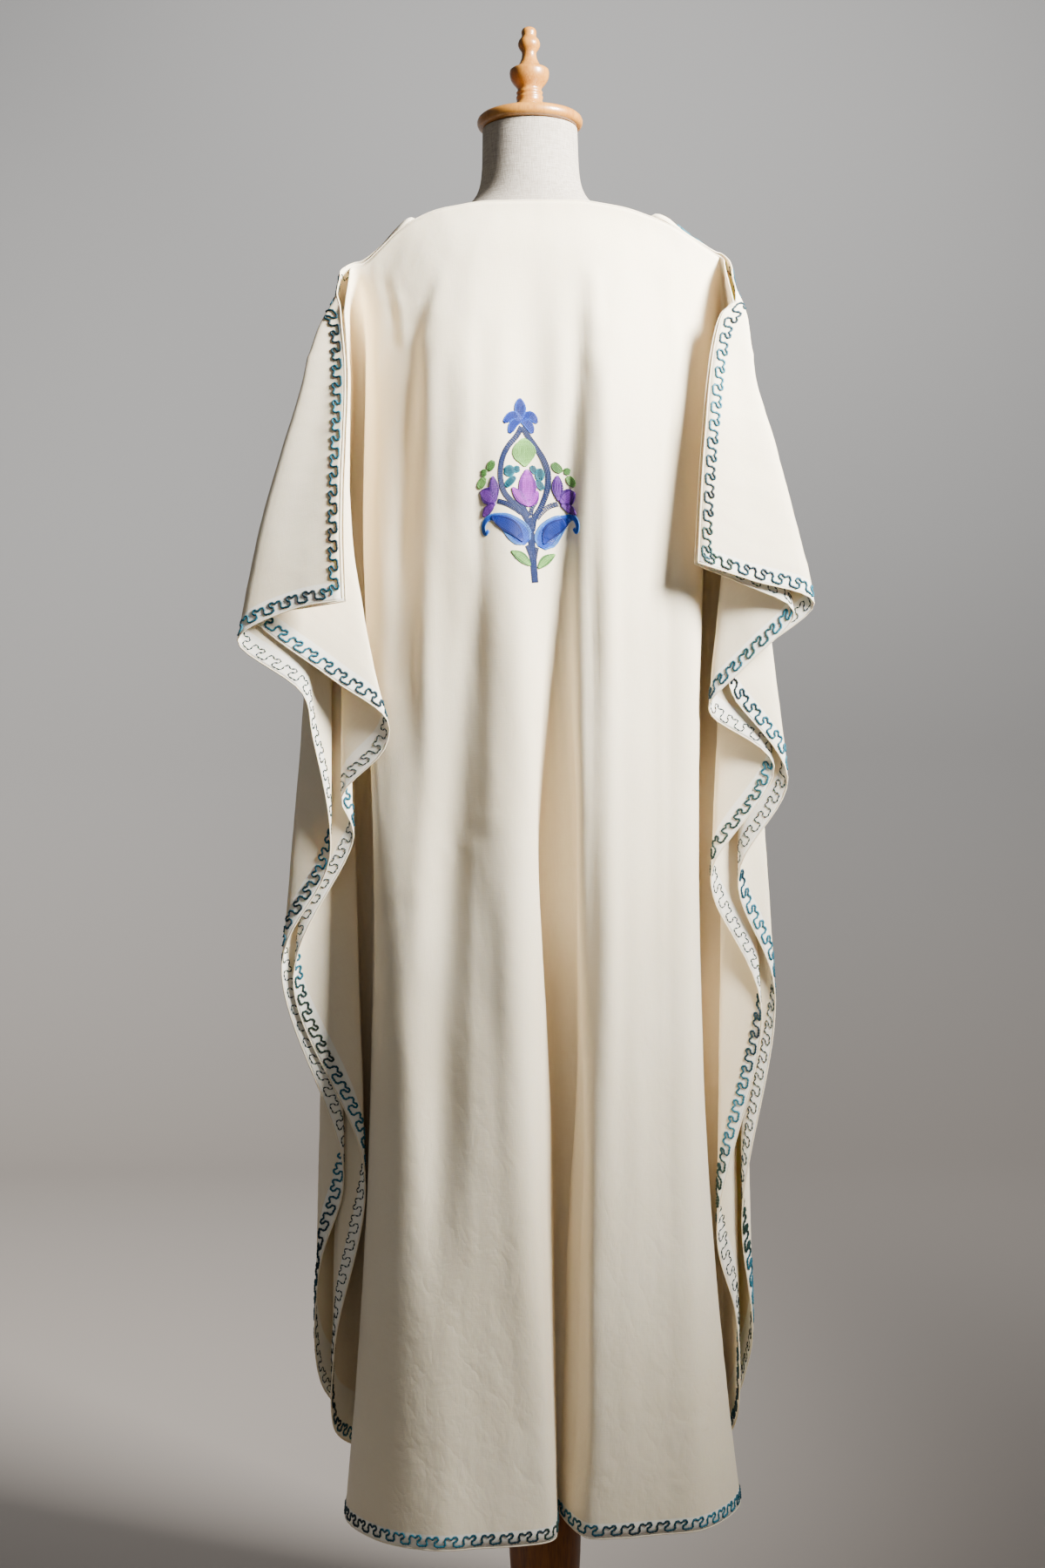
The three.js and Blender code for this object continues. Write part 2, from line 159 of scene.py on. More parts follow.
def backdrop():
    bm = bmesh.new()
    profile = [(FLOOR_START, 0.0), (WALL, 0.0), (WALL, WALL_TOP)]
    line = [bm.verts.new((-SWEEP_WIDTH / 2, y, z)) for y, z in profile]
    for pair in zip(line, line[1:]):
        bm.edges.new(pair)
    bmesh.ops.bevel(bm, geom=[line[1]], offset=SWEEP_ROUND, segments=16, profile=0.5,
                    affect="VERTICES", material=-1)
    swept = bmesh.ops.extrude_edge_only(bm, edges=bm.edges[:])
    moved = [e for e in swept["geom"] if isinstance(e, bmesh.types.BMVert)]
    bmesh.ops.translate(bm, verts=moved, vec=(SWEEP_WIDTH, 0, 0))
    bmesh.ops.recalc_face_normals(bm, faces=bm.faces[:])
    mesh = bpy.data.meshes.new("studio_sweep")
    bm.to_mesh(mesh)
    bm.free()
    mesh.shade_smooth()
    sheet = bpy.data.objects.new("studio_sweep", mesh)
    bpy.context.scene.collection.objects.link(sheet)
    material, tree, shader = finish("studio_grey", Roughness=0.9)
    where = node(tree, "ShaderNodeTexCoord").outputs["Object"]
    height = node(tree, "ShaderNodeSeparateXYZ", {"Vector": where}).outputs["Z"]
    tone = ramp(tree, maths(tree, "MULTIPLY", height, 0.5),
                [(0.0, FLOOR_GREY), (0.5, MIDDLE_GREY), (0.9, WALL_GREY)])
    tree.links.new(tone, shader.inputs["Base Color"])
    mesh.materials.append(material)


backdrop()
print("backdrop made")

# %% [markdown]
# ## Light
# A soft box high on the right does most of the work and rakes across the folds, a wide weak one
# in front opens the shadows, and a third one behind the stand lights the wall.

# %% Lamps
def soft_box(name, place, aim, size, power, colour, spread=180):
    data = bpy.data.lights.new(name, "AREA")
    data.shape = "RECTANGLE"
    data.size, data.size_y = size
    data.energy = power
    data.color = colour
    data.spread = math.radians(spread)
    lamp = bpy.data.objects.new(name, data)
    lamp.location = place
    lamp.rotation_euler = (Vector(aim) - Vector(place)).to_track_quat("-Z", "Y").to_euler()
    bpy.context.scene.collection.objects.link(lamp)


soft_box("key", (1.5, -1.05, 2.3), (0.12, 0.0, 1.74), (0.6, 0.8), 80, (1.0, 0.98, 0.95), 72)
soft_box("fill", (-0.7, -3.0, 1.3), (0.0, 0.0, 1.0), (1.6, 2.0), 6, (1.0, 0.97, 0.93))
soft_box("wall", (0.2, 1.7, 3.6), (0.1, 4.5, 1.7), (3.2, 0.8), 122, (1.0, 0.995, 0.985))
world = bpy.data.worlds.new("studio_air")
world.use_nodes = True
air = world.node_tree.nodes["Background"]
air.inputs["Color"].default_value = (0.93, 0.95, 1.0, 1)
air.inputs["Strength"].default_value = 0.13
bpy.context.scene.world = world
print("lamps placed")

# %% [markdown]
# ## The cloth's sizes
# Each panel is a rectangle 1120 by 1420 mm. A fold line runs over the cloth from the bent shoulder
# edge to the free edge, and its row says where it starts and ends on the cloth, where its end hangs,
# and how it gets there. The rules are those of the CAD source, and so are nearly all rows, so both
# surfaces lie on each other. Only the main folds of the back hang deeper here, and the right-hand
# flaps' first row turns in sooner. Y is measured from the plane of the shoulders, 16 mm behind the
# stand's axis.

# %% Fold lines of the wings
HALF, LENGTH, NECK, BODY = 560, 1420, 117, 200
NECK_DROP, HEM_BACK, HEM_FRONT = 150, 199, 224
SHOULDER_Z, NAPE_Y, NECK_Y, TIP_Y = 1625, -70, -62, -45
TIPS = {-1: (193, 1577), 1: (200, 1583)}  # across and up, for the left and the right shoulder
BEND = 96  # how much of the shoulder edge bends down past the tip
LINE = ("u0", "v", "u", "x", "z", "late", "bow", "y", "sway", "out")
BACK_LEFT = [
    (296, 0, HALF, -198, 1193, 1.0, 0, -136, 0, 0),
    (288, 62, HALF, -246, 1187, 1.1, 0, -123, 0, 0),
    (280, 124, HALF, -296, 1180, 1.1, 0, -110, 0, 0),
    (273, 225, HALF, -216, 1114, 2.0, 0, -90, 0, 0),
    (266, 315, HALF, -159, 1070, 2.6, 0, -76, -8, 0),
    (259, 362, HALF, -163, 1040, 2.5, 0, -70, -6, 0),
    (252, 435, HALF, -211, 989, 2.0, 0, -56, 0, 0),
    (246, 487, HALF, -199, 948, 1.8, 0, -48, 0, 0),
    (240, 660, HALF, -268, 793, 1.6, 0, -27, 0, 0),
    (234, 895, HALF, -194, 576, 1.6, 0, -4, 0, 0),
    (228, 1090, HALF, -230, 383, 1.4, 0, 10, 0, 0),
    (223, 1230, HALF, -233, 285, 1.4, 0, 20, 8, 0),
    (218, LENGTH, HALF, -199, 228, 1.4, 0, 34, 80, 0),
    (213, LENGTH, 440, -208, 205, 2.2, 18, 26, 29, 0),
    (208, LENGTH, 354, -219, 199, 2.6, 24, -10, -2, 0),
    (204, LENGTH, 269, -172, 196, 1.6, 14, -50, -34, 0),
]
FRONT_LEFT = [
    (296, 0, HALF, -201, 1194, 1.0, 0, -141, 0, 3),
    (288, 80, HALF, -254, 1186, 1.0, 0, -128, 0, 4),
    (280, 183, HALF, -314, 1155, 0.7, 0, -110, 0, 6),
    (272, 281, HALF, -248, 1099, 1.0, 0, -88, 0, 8),
    (264, 348, HALF, -240, 1056, 1.1, 0, -72, 0, 8),
    (257, 514, HALF, -225, 923, 1.1, 0, -50, 0, 8),
    (250, 644, HALF, -280, 807, 1.1, 0, -28, 0, 8),
    (243, 891, HALF, -217, 574, 1.2, 0, -4, 0, 8),
    (236, 994, HALF, -246, 468, 1.2, 0, 6, 0, 9),
    (229, 1180, HALF, -248, 340, 1.2, 0, 20, 4, 8),
    (223, LENGTH, HALF, -189, 230, 1.4, 0, 50, 80, 5),
    (217, LENGTH, 440, -200, 206, 1.8, 25, 40, 17, 4),
    (213, LENGTH, 400, -176, 212, 1.6, 12, 58, 22, 4),
    (209, LENGTH, 350, -158, 216, 1.4, 8, 72, -5, 4),
    (206, LENGTH, 300, -146, 220, 1.3, 4, 84, 39, 4),
    (203, LENGTH, 250, -124, 222, 1.2, 2, 94, -9, 4),
]
BACK_RIGHT = [
    (296, 0, HALF, 168, 1230, 0.36, 0, -112, 0, 0),
    (288, 55, HALF, 222, 1209, 1.1, 0, -98, 0, 0),
    (280, 112, HALF, 275, 1181, 1.1, 0, -84, 0, 0),
    (273, 215, HALF, 228, 1128, 1.7, 0, -72, 0, 0),
    (266, 300, HALF, 186, 1085, 2.0, 0, -61, 0, 0),
    (259, 336, HALF, 189, 1072, 2.0, 0, -54, 0, 0),
    (252, 430, HALF, 257, 1018, 1.6, 0, -36, 0, 0),
    (246, 540, HALF, 191, 908, 1.7, 0, -18, 0, 0),
    (240, 582, HALF, 192, 876, 1.7, 0, -11, 0, 0),
    (234, 700, HALF, 245, 754, 1.4, 0, 4, 0, 0),
    (229, 960, HALF, 195, 500, 1.4, 0, 18, 0, 0),
    (224, 1065, HALF, 216, 405, 1.3, 0, 24, 0, 0),
    (220, 1190, HALF, 218, 300, 1.3, 0, 32, 6, 0),
    (216, LENGTH, HALF, 206, 222, 1.2, 0, 42, 84, 0),
    (212, LENGTH, 440, 199, 206, 2.2, 22, 34, 54, 0),
    (208, LENGTH, 303, 219, 201, 2.6, 36, -8, 42, 0),
    (204, LENGTH, 250, 203, 198, 2.0, 30, -50, 34, 0),
]
FRONT_RIGHT = [
    (296, 0, HALF, 171, 1231, 0.36, 0, -117, 0, 3),
    (288, 70, HALF, 229, 1213, 1.0, 0, -103, 0, 4),
    (280, 150, HALF, 296, 1190, 0.7, 0, -84, 0, 6),
    (273, 275, HALF, 209, 1116, 1.3, 0, -60, 0, 6),
    (266, 315, HALF, 211, 1096, 1.3, 0, -55, 0, 6),
    (259, 425, HALF, 272, 1005, 1.2, 0, -36, 0, 7),
    (252, 545, HALF, 219, 896, 1.1, 0, -15, 0, 8),
    (245, 690, HALF, 260, 771, 1.1, 0, 4, 0, 9),
    (238, 960, HALF, 223, 521, 1.1, 0, 17, 0, 9),
    (231, 1120, HALF, 234, 380, 1.2, 0, 30, 0, 8),
    (224, LENGTH, HALF, 204, 224, 1.3, 0, 58, 78, 5),
    (218, LENGTH, 440, 193, 207, 1.8, 26, 50, 42, 4),
    (213, LENGTH, 400, 172, 212, 1.6, 16, 66, 36, 4),
    (209, LENGTH, 350, 158, 216, 1.4, 10, 80, 1, 4),
    (206, LENGTH, 300, 146, 220, 1.3, 6, 90, 35, 4),
    (203, LENGTH, 250, 124, 222, 1.2, 2, 96, -9, 4),
]
print("fold lines:", [len(t) for t in (BACK_LEFT, FRONT_LEFT, BACK_RIGHT, FRONT_RIGHT)])

# %% Levels of the body
BACK_KEYS = ("v", "mid_x", "mid_y", "crest_u", "left_x", "left_y", "right_x", "right_y",
             "side_l", "side_ly", "side_r", "side_ry", "drop")
BACK_BODY = [dict(zip(BACK_KEYS, row)) for row in (
    (0, 0, -70, 70, -70, -68, 70, -68, -193, -45, 200, -45, 0),
    (60, 0, -86, 70, -70, -84, 71, -84, -187, -56, 192, -56, 0.036),
    (200, 2, -104, 68, -66, -115, 71, -115, -177, -68, 180, -68, 0.136),
    (380, 8, -100, 60, -50, -112, 67, -112, -170, -66, 172, -68, 0.266),
    (575, 17, -86, 52, -28, -104, 62, -104, -164, -62, 168, -64, 0.404),
    (800, 19, -68, 58, -16, -108, 57, -106, -150, -80, 163, -74, 0.563),
    (1100, 16, -42, 66, -6, -104, 50, -98, -128, -100, 164, -70, 0.774),
    (1420, 14, -30, 72, 6, -90, 46, -82, -110, -114, 168, -60, 1),
)]
FRONT_KEYS = ("v", "mid", "bust", "side_x", "side", "wave", "drop")
FRONT_BODY = [dict(zip(FRONT_KEYS, row)) for row in (
    (0, -70, -68, 197, -49, 0, 0),
    (40, -30, -30, 199, -10, 0, -0.004),
    (92, 34, 26, 200, 32, 0, 0.016),
    (150, 76, 72, 198, 58, 0, 0.050),
    (230, 104, 112, 192, 76, 2, 0.104),
    (330, 122, 138, 184, 90, 4, 0.177),
    (520, 120, 134, 172, 98, 7, 0.322),
    (760, 118, 130, 152, 108, 11, 0.504),
    (1080, 120, 130, 124, 118, 16, 0.746),
    (1420, 120, 130, 104, 124, 22, 1),
)]
BACK_LINES = [-200, -155, -110, -70, -35, 0, 35, 70, 110, 155, 200]
FRONT_LINES = [-200, -165, -132, -99, -66, -33, 0, 33, 66, 99, 132, 165, 200]
print("levels:", len(BACK_BODY), "back,", len(FRONT_BODY), "front")


# %% Rules that turn a row into a place
def mix(a, b, t):
    return a + (b - a) * t


def along(rows, key, at):
    """A smooth curve through rows keyed by one column, each other column on its own cubic."""
    i = 0
    while i < len(rows) - 2 and rows[i + 1][key] < at:
        i += 1

    def row(k):
        return rows[max(0, min(len(rows) - 1, k))]

    a, b = row(i), row(i + 1)
    span = b[key] - a[key]
    t = (at - a[key]) / span
    made = {}
    for name in a:
        def slope(k):
            low, high = row(k - 1), row(k + 1)
            return (high[name] - low[name]) / (high[key] - low[key]) * span
        made[name] = ((2 * t**3 - 3 * t**2 + 1) * a[name] + (t**3 - 2 * t**2 + t) * slope(i)
                      + (3 * t**2 - 2 * t**3) * b[name] + (t**3 - t**2) * slope(i + 1))
    return made


def top_edge(side, u):
    """The shoulder edge: level over the neck, sloping to the tip, then bent down."""
    tip_x, tip_z = TIPS[side]
    if u <= NECK:
        return (side * u, mix(NAPE_Y, NECK_Y, (u / NECK) ** 2), SHOULDER_Z)
    if u <= BODY:
        t = (u - NECK) / (BODY - NECK)
        return (side * mix(NECK, tip_x, t), mix(NECK_Y, TIP_Y, t), mix(SHOULDER_Z, tip_z, t**1.35))
    bend = (u - BODY) / BEND
    turn = math.sin(min(1, bend / 0.25) * math.pi / 2)
    y = TIP_Y - 48 * max(0, (bend - 0.12) / 0.88)
    return (side * (tip_x + 14 * turn), y, tip_z - 70 * bend**1.5)


def wing_point(row, side, lift, t):
    """A place on one fold line of a wing, t of the way from the shoulder edge to the free edge."""
    x, y, z = top_edge(side, row["u0"])
    x += side * row["out"]
    y += lift * max(0, 1 - (row["u0"] - BODY) / 24)
    z += lift
    level = mix(z, row["z"], t)
    fall = 1 - math.exp(-(((z - level) / 150) ** 1.3))
    return (mix(x, row["x"], t ** row["late"]) - side * row["bow"] * 4 * t * (1 - t),
            mix(y, row["y"], fall) + row["sway"] * t**3, level)


def back_body_point(u, t):
    """A place on the back between the side seams: five points across, joined by a curve."""
    s = along(BACK_BODY, "v", LENGTH * t)
    rim = top_edge(-1 if u < 0 else 1, min(abs(u), BODY))
    reach = [
        {"u": -BODY, "x": s["side_l"], "y": s["side_ly"]},
        {"u": -s["crest_u"], "x": s["left_x"], "y": s["left_y"]},
        {"u": 0, "x": s["mid_x"], "y": s["mid_y"]},
        {"u": s["crest_u"], "x": s["right_x"], "y": s["right_y"]},
        {"u": BODY, "x": s["side_r"], "y": s["side_ry"]},
    ]
    p = along(reach, "u", u)
    near = max(0, 1 - t / 0.05) ** 2
    low = HEM_BACK + 12 * math.exp(-((u / 42) ** 2)) - 2
    return (mix(p["x"], rim[0], near), mix(p["y"], rim[1], near), mix(rim[2], low, s["drop"]))


def scoop(u):
    """How far the front neckline dips below the shoulder edge."""
    return NECK_DROP * math.sqrt(1 - (abs(u) / NECK) ** 2) if abs(u) < NECK else 0


def front_body_point(u, t):
    side = -1 if u < 0 else 1
    s = along(FRONT_BODY, "v", mix(scoop(u), LENGTH, t))
    rim = top_edge(side, min(abs(u), BODY))
    reach = [
        {"u": 0, "x": 0, "y": s["mid"]},
        {"u": 100, "x": s["side_x"] * 0.52, "y": s["bust"]},
        {"u": BODY, "x": s["side_x"], "y": s["side"]},
    ]
    p = along(reach, "u", abs(u))
    near = max(0, 1 - t / 0.06) ** 2
    x = mix(p["x"] * (0.97 if side < 0 else 1), abs(rim[0]) + 5, near * (abs(u) / BODY) ** 4)
    y = mix(p["y"], rim[1] + 3, near if abs(u) > NECK else 0)
    return (side * x, y + s["wave"] * math.cos(u * math.pi / 66), mix(rim[2], HEM_FRONT, s["drop"]))


# %% [markdown]
# ## The cloth's surface
# The surface is a net: fold lines one way, levels the other, with a smooth curve through the fold
# lines at each level. Beside its place, each point of the net keeps its place on the flat cloth, in
# millimetres from the middle of the shoulder edge. That is the cloth's own map, and the weave, the
# seams and the embroidery all use it.

# %% The net
LEVELS = 132


def spline(a, b, c, d, steps):
    """Centripetal Catmull-Rom from b to c, at the given shares of the way."""
    a, b, c, d = (np.array(p, float) for p in (a, b, c, d))
    k1 = max(1e-3, math.sqrt(np.linalg.norm(b - a)))
    k2 = k1 + max(1e-3, math.sqrt(np.linalg.norm(c - b)))
    k3 = k2 + max(1e-3, math.sqrt(np.linalg.norm(d - c)))
    k = mix(k1, k2, np.asarray(steps))[:, None]

    def between(p, q, low, high):
        return p + (q - p) * (k - low) / (high - low)

    ab, bc, cd = between(a, b, 0, k1), between(b, c, k1, k2), between(c, d, k2, k3)
    return between(between(ab, bc, 0, k2), between(bc, cd, k1, k3), k1, k2)


def net(body_point, left, right, body_lines, lift, scooped):
    left = [dict(zip(LINE, row)) for row in left]
    right = [dict(zip(LINE, row)) for row in right]
    lines = [("wing", -1, row) for row in left]
    lines += [("body", 0, u) for u in body_lines]
    lines += [("wing", 1, row) for row in reversed(right)]

    def place(kind, side, row, t):
        if kind == "body":
            v = mix(scoop(row) if scooped else 0, LENGTH, t)
            return body_point(row, t), (row, v)
        return wing_point(row, side, lift, t), (side * mix(row["u0"], row["u"], t), row["v"] * t)

    ends = [place(*line, 1)[1] for line in lines]
    parts = [max(3, round(math.dist(p, q) / (6 if a[0] == b[0] == "body" else 14)))
             for p, q, a, b in zip(ends, ends[1:], lines, lines[1:])]
    points, cloth = [], []
    for j in range(LEVELS + 1):
        t = (j / LEVELS) ** 1.15
        placed = [place(*line, t) for line in lines]
        knots = [np.array(p[0], float) for p in placed]
        knots = [2 * knots[0] - knots[1], *knots, 2 * knots[-1] - knots[-2]]
        row, flat = [knots[1][None]], [np.array([placed[0][1]], float)]
        for k, count in enumerate(parts):
            steps = np.arange(1, count + 1) / count
            row.append(spline(knots[k], knots[k + 1], knots[k + 2], knots[k + 3], steps))
            p, q = np.array(placed[k][1], float), np.array(placed[k + 1][1], float)
            flat.append(p + (q - p) * steps[:, None])
        points.append(np.vstack(row))
        cloth.append(np.vstack(flat))
    return np.array(points), np.array(cloth)


# %% [markdown]
# ## Settled shoulders
# Cloth hung over shoulders is eased by its own weight. The shoulder line drops from the neck
# outwards, the left shoulder's fold lies closer to the neck than the right one, and the tips are
# rounded by averaging every point there with its neighbours, again and again.

# %% Ease the shoulders
DROP, NECKWARD, RIGHT_INWARD, LEFT_OUTWARD = 12, 13, 17, 13
ROUNDS = 26


def part(values, low, high):
    return np.clip((values - low) / (high - low), 0, 1)


def ease(values, low, high):
    t = part(values, low, high)
    return t * t * (3 - 2 * t)


def swell_at(values, middle, width):
    return np.exp(-(((values - middle) / width) ** 2))


def settle(points):
    x, z = points[..., 0], points[..., 2]
    moved = points.copy()
    moved[..., 2] -= DROP * ease(z, 1430, 1580) * ease(np.abs(x), 45, 130)
    moved[..., 0] += NECKWARD * ease(z, 1240, 1500) * ease(-x, 110, 200)
    right = part(x, 196, 236) * part(z, 1230, 1430) * (1 - 0.9 * swell_at(z, 1508, 46))
    left = part(-x, 196, 226) * swell_at(z, 1505, 60)
    moved[..., 0] -= RIGHT_INWARD * right + LEFT_OUTWARD * left
    return soothe(moved)


def soothe(points):
    eased = points.copy()
    for _ in range(ROUNDS):
        at_tip = part(np.abs(eased[..., 0]), 150, 175) * part(eased[..., 2], 1455, 1505)
        weight = 0.5 * at_tip[..., None]
        around = eased.copy()
        around[1:-1] = (eased[2:] + eased[:-2]) / 2
        eased = eased * (1 - weight) + around * weight
        around = eased.copy()
        around[:, 1:-1] = (eased[:, 2:] + eased[:, :-2]) / 2
        eased = eased * (1 - weight) + around * weight
    return eased


back_net, back_cloth = net(back_body_point, BACK_LEFT, BACK_RIGHT, BACK_LINES, 0, False)
front_net, front_cloth = net(front_body_point, FRONT_LEFT, FRONT_RIGHT, FRONT_LINES, 3, True)
front_net, front_cloth = front_net[:, ::-1], front_cloth[:, ::-1]
back_net, front_net = settle(back_net), settle(front_net)
print("nets:", back_net.shape, front_net.shape)

# %% [markdown]
# ## Creases
# Cloth that has been folded in a drawer keeps its press creases, and cloth that hangs gathers small
# ones. Each is given as a line in millimetres across and up, a width, and a height that is
# negative for a trough. The height fades out towards both ends, and wanders a little on the way.

# %% Crease rows
BACK_CREASES = [  # points (x, z), half width, height
    (((-14, 1330), (-18, 1100), (-21, 800), (-18, 480), (-2, 260)), 22.0, 9.0),
    (((-60, 1300), (-70, 1120), (-92, 920), (-106, 700), (-118, 480), (-116, 240)), 24.0, -13.0),
    (((-94, 1560), (-106, 1440), (-114, 1200), (-118, 1000), (-130, 780)), 13.0, 6.0),
    (((-56, 1500), (-58, 1400), (-62, 1200), (-76, 1040)), 15.0, -6.0),
    (((-124, 1530), (-126, 1460), (-140, 1300), (-150, 1100)), 9.0, -4.0),
    (((50, 1540), (46, 1440), (32, 1280), (24, 1120), (20, 920), (20, 700), (22, 480), (24, 260)),
     14.0, -17.0),
    (((66, 1560), (74, 1460), (78, 1280), (76, 1080), (74, 800), (70, 500)), 11.0, 6.0),
    (((26, 1260), (21, 1060), (20, 900), (25, 700), (30, 480), (30, 230)), 14.0, -22.0),
    (((63, 1500), (63, 1300), (58, 1000), (54, 700)), 4.0, -1.6),
    (((118, 1480), (122, 1300), (124, 1000), (122, 600)), 16.0, -2.0),
    (((156, 1500), (160, 1300), (158, 1000)), 14.0, 3.0),
    (((-64, 1560), (-70, 1000), (-74, 640), (-78, 230)), 3.0, 0.75),
    (((-57, 1560), (-63, 1000), (-67, 640), (-71, 230)), 4.0, -0.45),
    (((138, 1550), (133, 1000), (129, 640), (126, 230)), 3.0, 0.8),
    (((146, 1550), (141, 1000), (137, 640), (134, 230)), 4.0, -0.5),
    (((-188, 876), (-136, 890), (-104, 924), (-80, 945), (-43, 955), (22, 950)), 2.6, -1.5),
    (((-186, 884), (-136, 899), (-104, 932), (-80, 952), (-43, 962), (22, 957)), 4.5, 0.9),
    (((-176, 862), (-150, 868), (-128, 880)), 2.6, -1.2),
    (((22, 951), (60, 948), (96, 950)), 2.2, -0.5),
    (((-95, 1542), (-108, 1500), (-123, 1446)), 7.0, 1.9),
    (((-104, 1540), (-118, 1498), (-133, 1446)), 7.0, -1.4),
    (((66, 1545), (63, 1490), (62, 1424)), 8.0, 2.0),
    (((78, 1545), (76, 1490), (75, 1424)), 8.0, -1.5),
    (((-160, 1552), (-150, 1510), (-145, 1462)), 5.0, -2.0),
    (((-152, 1555), (-141, 1510), (-136, 1462)), 5.0, 1.3),
    (((150, 1560), (146, 1510), (152, 1440)), 7.0, 1.6),
    (((28, 1490), (30, 1420), (26, 1340)), 9.0, 0.7),
    (((-30, 1500), (-34, 1420), (-30, 1350)), 9.0, 0.6),
    (((-122, 1180), (-130, 1130), (-126, 1090)), 4.0, -0.8),
    (((-116, 1160), (-122, 1120), (-119, 1080)), 4.0, 0.5),
    (((-178, 560), (-160, 556), (-140, 560)), 3.0, -0.8),
    (((-182, 520), (-150, 510), (-120, 512)), 3.0, -0.6),
    (((-40, 330), (-20, 318), (-2, 296)), 3.0, -1.0),
    (((-30, 312), (-12, 296), (0, 270)), 3.0, 0.8),
    (((-10, 345), (2, 322), (8, 300)), 3.0, -0.9),
    (((-52, 285), (-26, 272), (-6, 250)), 3.0, -0.8),
    (((62, 290), (84, 268), (96, 246)), 3.2, -1.1),
    (((74, 300), (98, 280), (112, 256)), 3.2, 0.8),
    (((102, 306), (124, 288), (138, 262)), 3.2, -1.0),
    (((120, 282), (140, 262), (150, 238)), 3.0, 0.7),
    (((40, 262), (64, 250), (86, 226)), 3.0, -0.7),
    (((150, 330), (168, 318), (182, 296)), 3.0, -0.8),
    (((-150, 300), (-128, 292), (-104, 294)), 3.4, -0.7),
    (((-130, 262), (-100, 256), (-76, 262)), 3.4, 0.6),
    (((0, 700), (-3, 640), (-2, 560)), 4.0, 0.7),
    (((98, 760), (104, 660), (100, 540)), 7.0, 0.9),
    (((-40, 820), (-36, 700), (-38, 560)), 9.0, 0.8),
]
FRONT_CREASES = [
    (((-60, 1400), (-62, 1000), (-60, 260)), 3.0, 0.75),
    (((-67, 1400), (-69, 1000), (-67, 260)), 4.0, -0.45),
    (((66, 1400), (64, 1000), (68, 260)), 3.0, 0.75),
    (((73, 1400), (71, 1000), (75, 260)), 4.0, -0.45),
    (((-150, 1010), (-90, 985), (-20, 996), (40, 990), (120, 1012)), 2.8, -1.2),
    (((-150, 1018), (-90, 993), (-20, 1004), (40, 998), (120, 1020)), 4.5, 0.8),
    (((-120, 1440), (-108, 1360), (-104, 1260)), 8.0, 1.6),
    (((118, 1440), (104, 1370), (102, 1270)), 8.0, 1.5),
    (((-70, 1480), (-40, 1440), (-8, 1420)), 6.0, -1.2),
    (((74, 1484), (44, 1442), (12, 1418)), 6.0, -1.1),
    (((-80, 420), (-50, 400), (-24, 404)), 3.2, -0.8),
    (((20, 330), (44, 312), (70, 300)), 3.2, -0.9),
    (((-110, 300), (-84, 290), (-52, 296)), 3.2, 0.7),
]


print("creases:", len(BACK_CREASES), "on the back,", len(FRONT_CREASES), "on the front")

# %% Measure the creases
def crease_heights(x, z, creases):
    """The height of all creases at every point; each crease falls away from its line."""
    total = np.zeros_like(x)
    for number, (points, width, height) in enumerate(creases):
        points = np.array(points, float)
        lengths = np.linalg.norm(np.diff(points, axis=0), axis=1)
        reached = np.concatenate([[0], np.cumsum(lengths)])
        near = np.full_like(x, 1e9)
        share = np.zeros_like(x)
        for k, size in enumerate(lengths):
            step = (points[k + 1] - points[k]) / size
            gone = np.clip((x - points[k, 0]) * step[0] + (z - points[k, 1]) * step[1], 0, size)
            gap = np.hypot(x - points[k, 0] - gone * step[0], z - points[k, 1] - gone * step[1])
            closer = gap < near
            near[closer] = gap[closer]
            share[closer] = ((reached[k] + gone) / reached[-1])[closer]
        fade = np.clip(np.sin(share * math.pi), 0, 1) ** 0.6
        wander = 0.78 + 0.22 * np.sin(share * 17 + number * 2.4)
        total += height * np.exp(-((near / width) ** 2)) * fade * wander
    return total


def rumple(u, v, seed):
    """Soft unevenness of hanging cloth: long down the cloth, short across it, plus a fine crumple."""
    made = np.zeros_like(u)
    for at in np.ndindex(u.shape):
        a, b = u[at], v[at]
        made[at] = (1.0 * noise.noise(Vector((a / 46, b / 330, seed)))
                    + 0.55 * noise.noise(Vector((a / 21, b / 60, seed + 7)))
                    + 0.28 * noise.noise(Vector((a / 9, b / 17, seed + 13))))
    return made


# %% [markdown]
# ## From net to cloth
# The net is pushed in and out by creases and unevenness along its own normals, and becomes a mesh.
# The cloth's map is stored as its UV map, in metres.

# %% From points to a mesh
def unit(vectors):
    return vectors / np.maximum(np.linalg.norm(vectors, axis=-1, keepdims=True), 1e-9)


def normals_of(points):
    return unit(np.cross(np.gradient(points, axis=0), np.gradient(points, axis=1)))


def creased(points, cloth, creases, seed, face):
    """Creases keep to the body, where it faces outwards; the crumple grows towards the hem."""
    out = normals_of(points)
    facing = part(out[..., 1] * face, 0.25, 0.65)
    body = part(-np.abs(cloth[..., 0]), -260, -220)
    height = crease_heights(points[..., 0], points[..., 2], creases) * facing * body
    height += (0.8 + 0.5 * part(cloth[..., 1], 1100, 1360)) * rumple(cloth[..., 0], cloth[..., 1], seed)
    return points + out * height[..., None]


def to_frame(points):
    moved = np.asarray(points, float).copy()
    moved[..., 1] -= STAND_AXIS
    return moved * MM


def add_piece(name, mesh, material, body="root"):
    piece = bpy.data.objects.new(name, mesh)
    bpy.context.scene.collection.objects.link(piece)
    mesh.materials.append(material)
    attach(piece, body)
    return piece


def patches(points):
    """The corners of every patch of the net, as numbers of its points."""
    rows, columns = points.shape[:2]
    at = np.arange(rows * columns).reshape(rows, columns)
    return [corner.ravel() for corner in (at[:-1, :-1], at[:-1, 1:], at[1:, 1:], at[1:, :-1])]


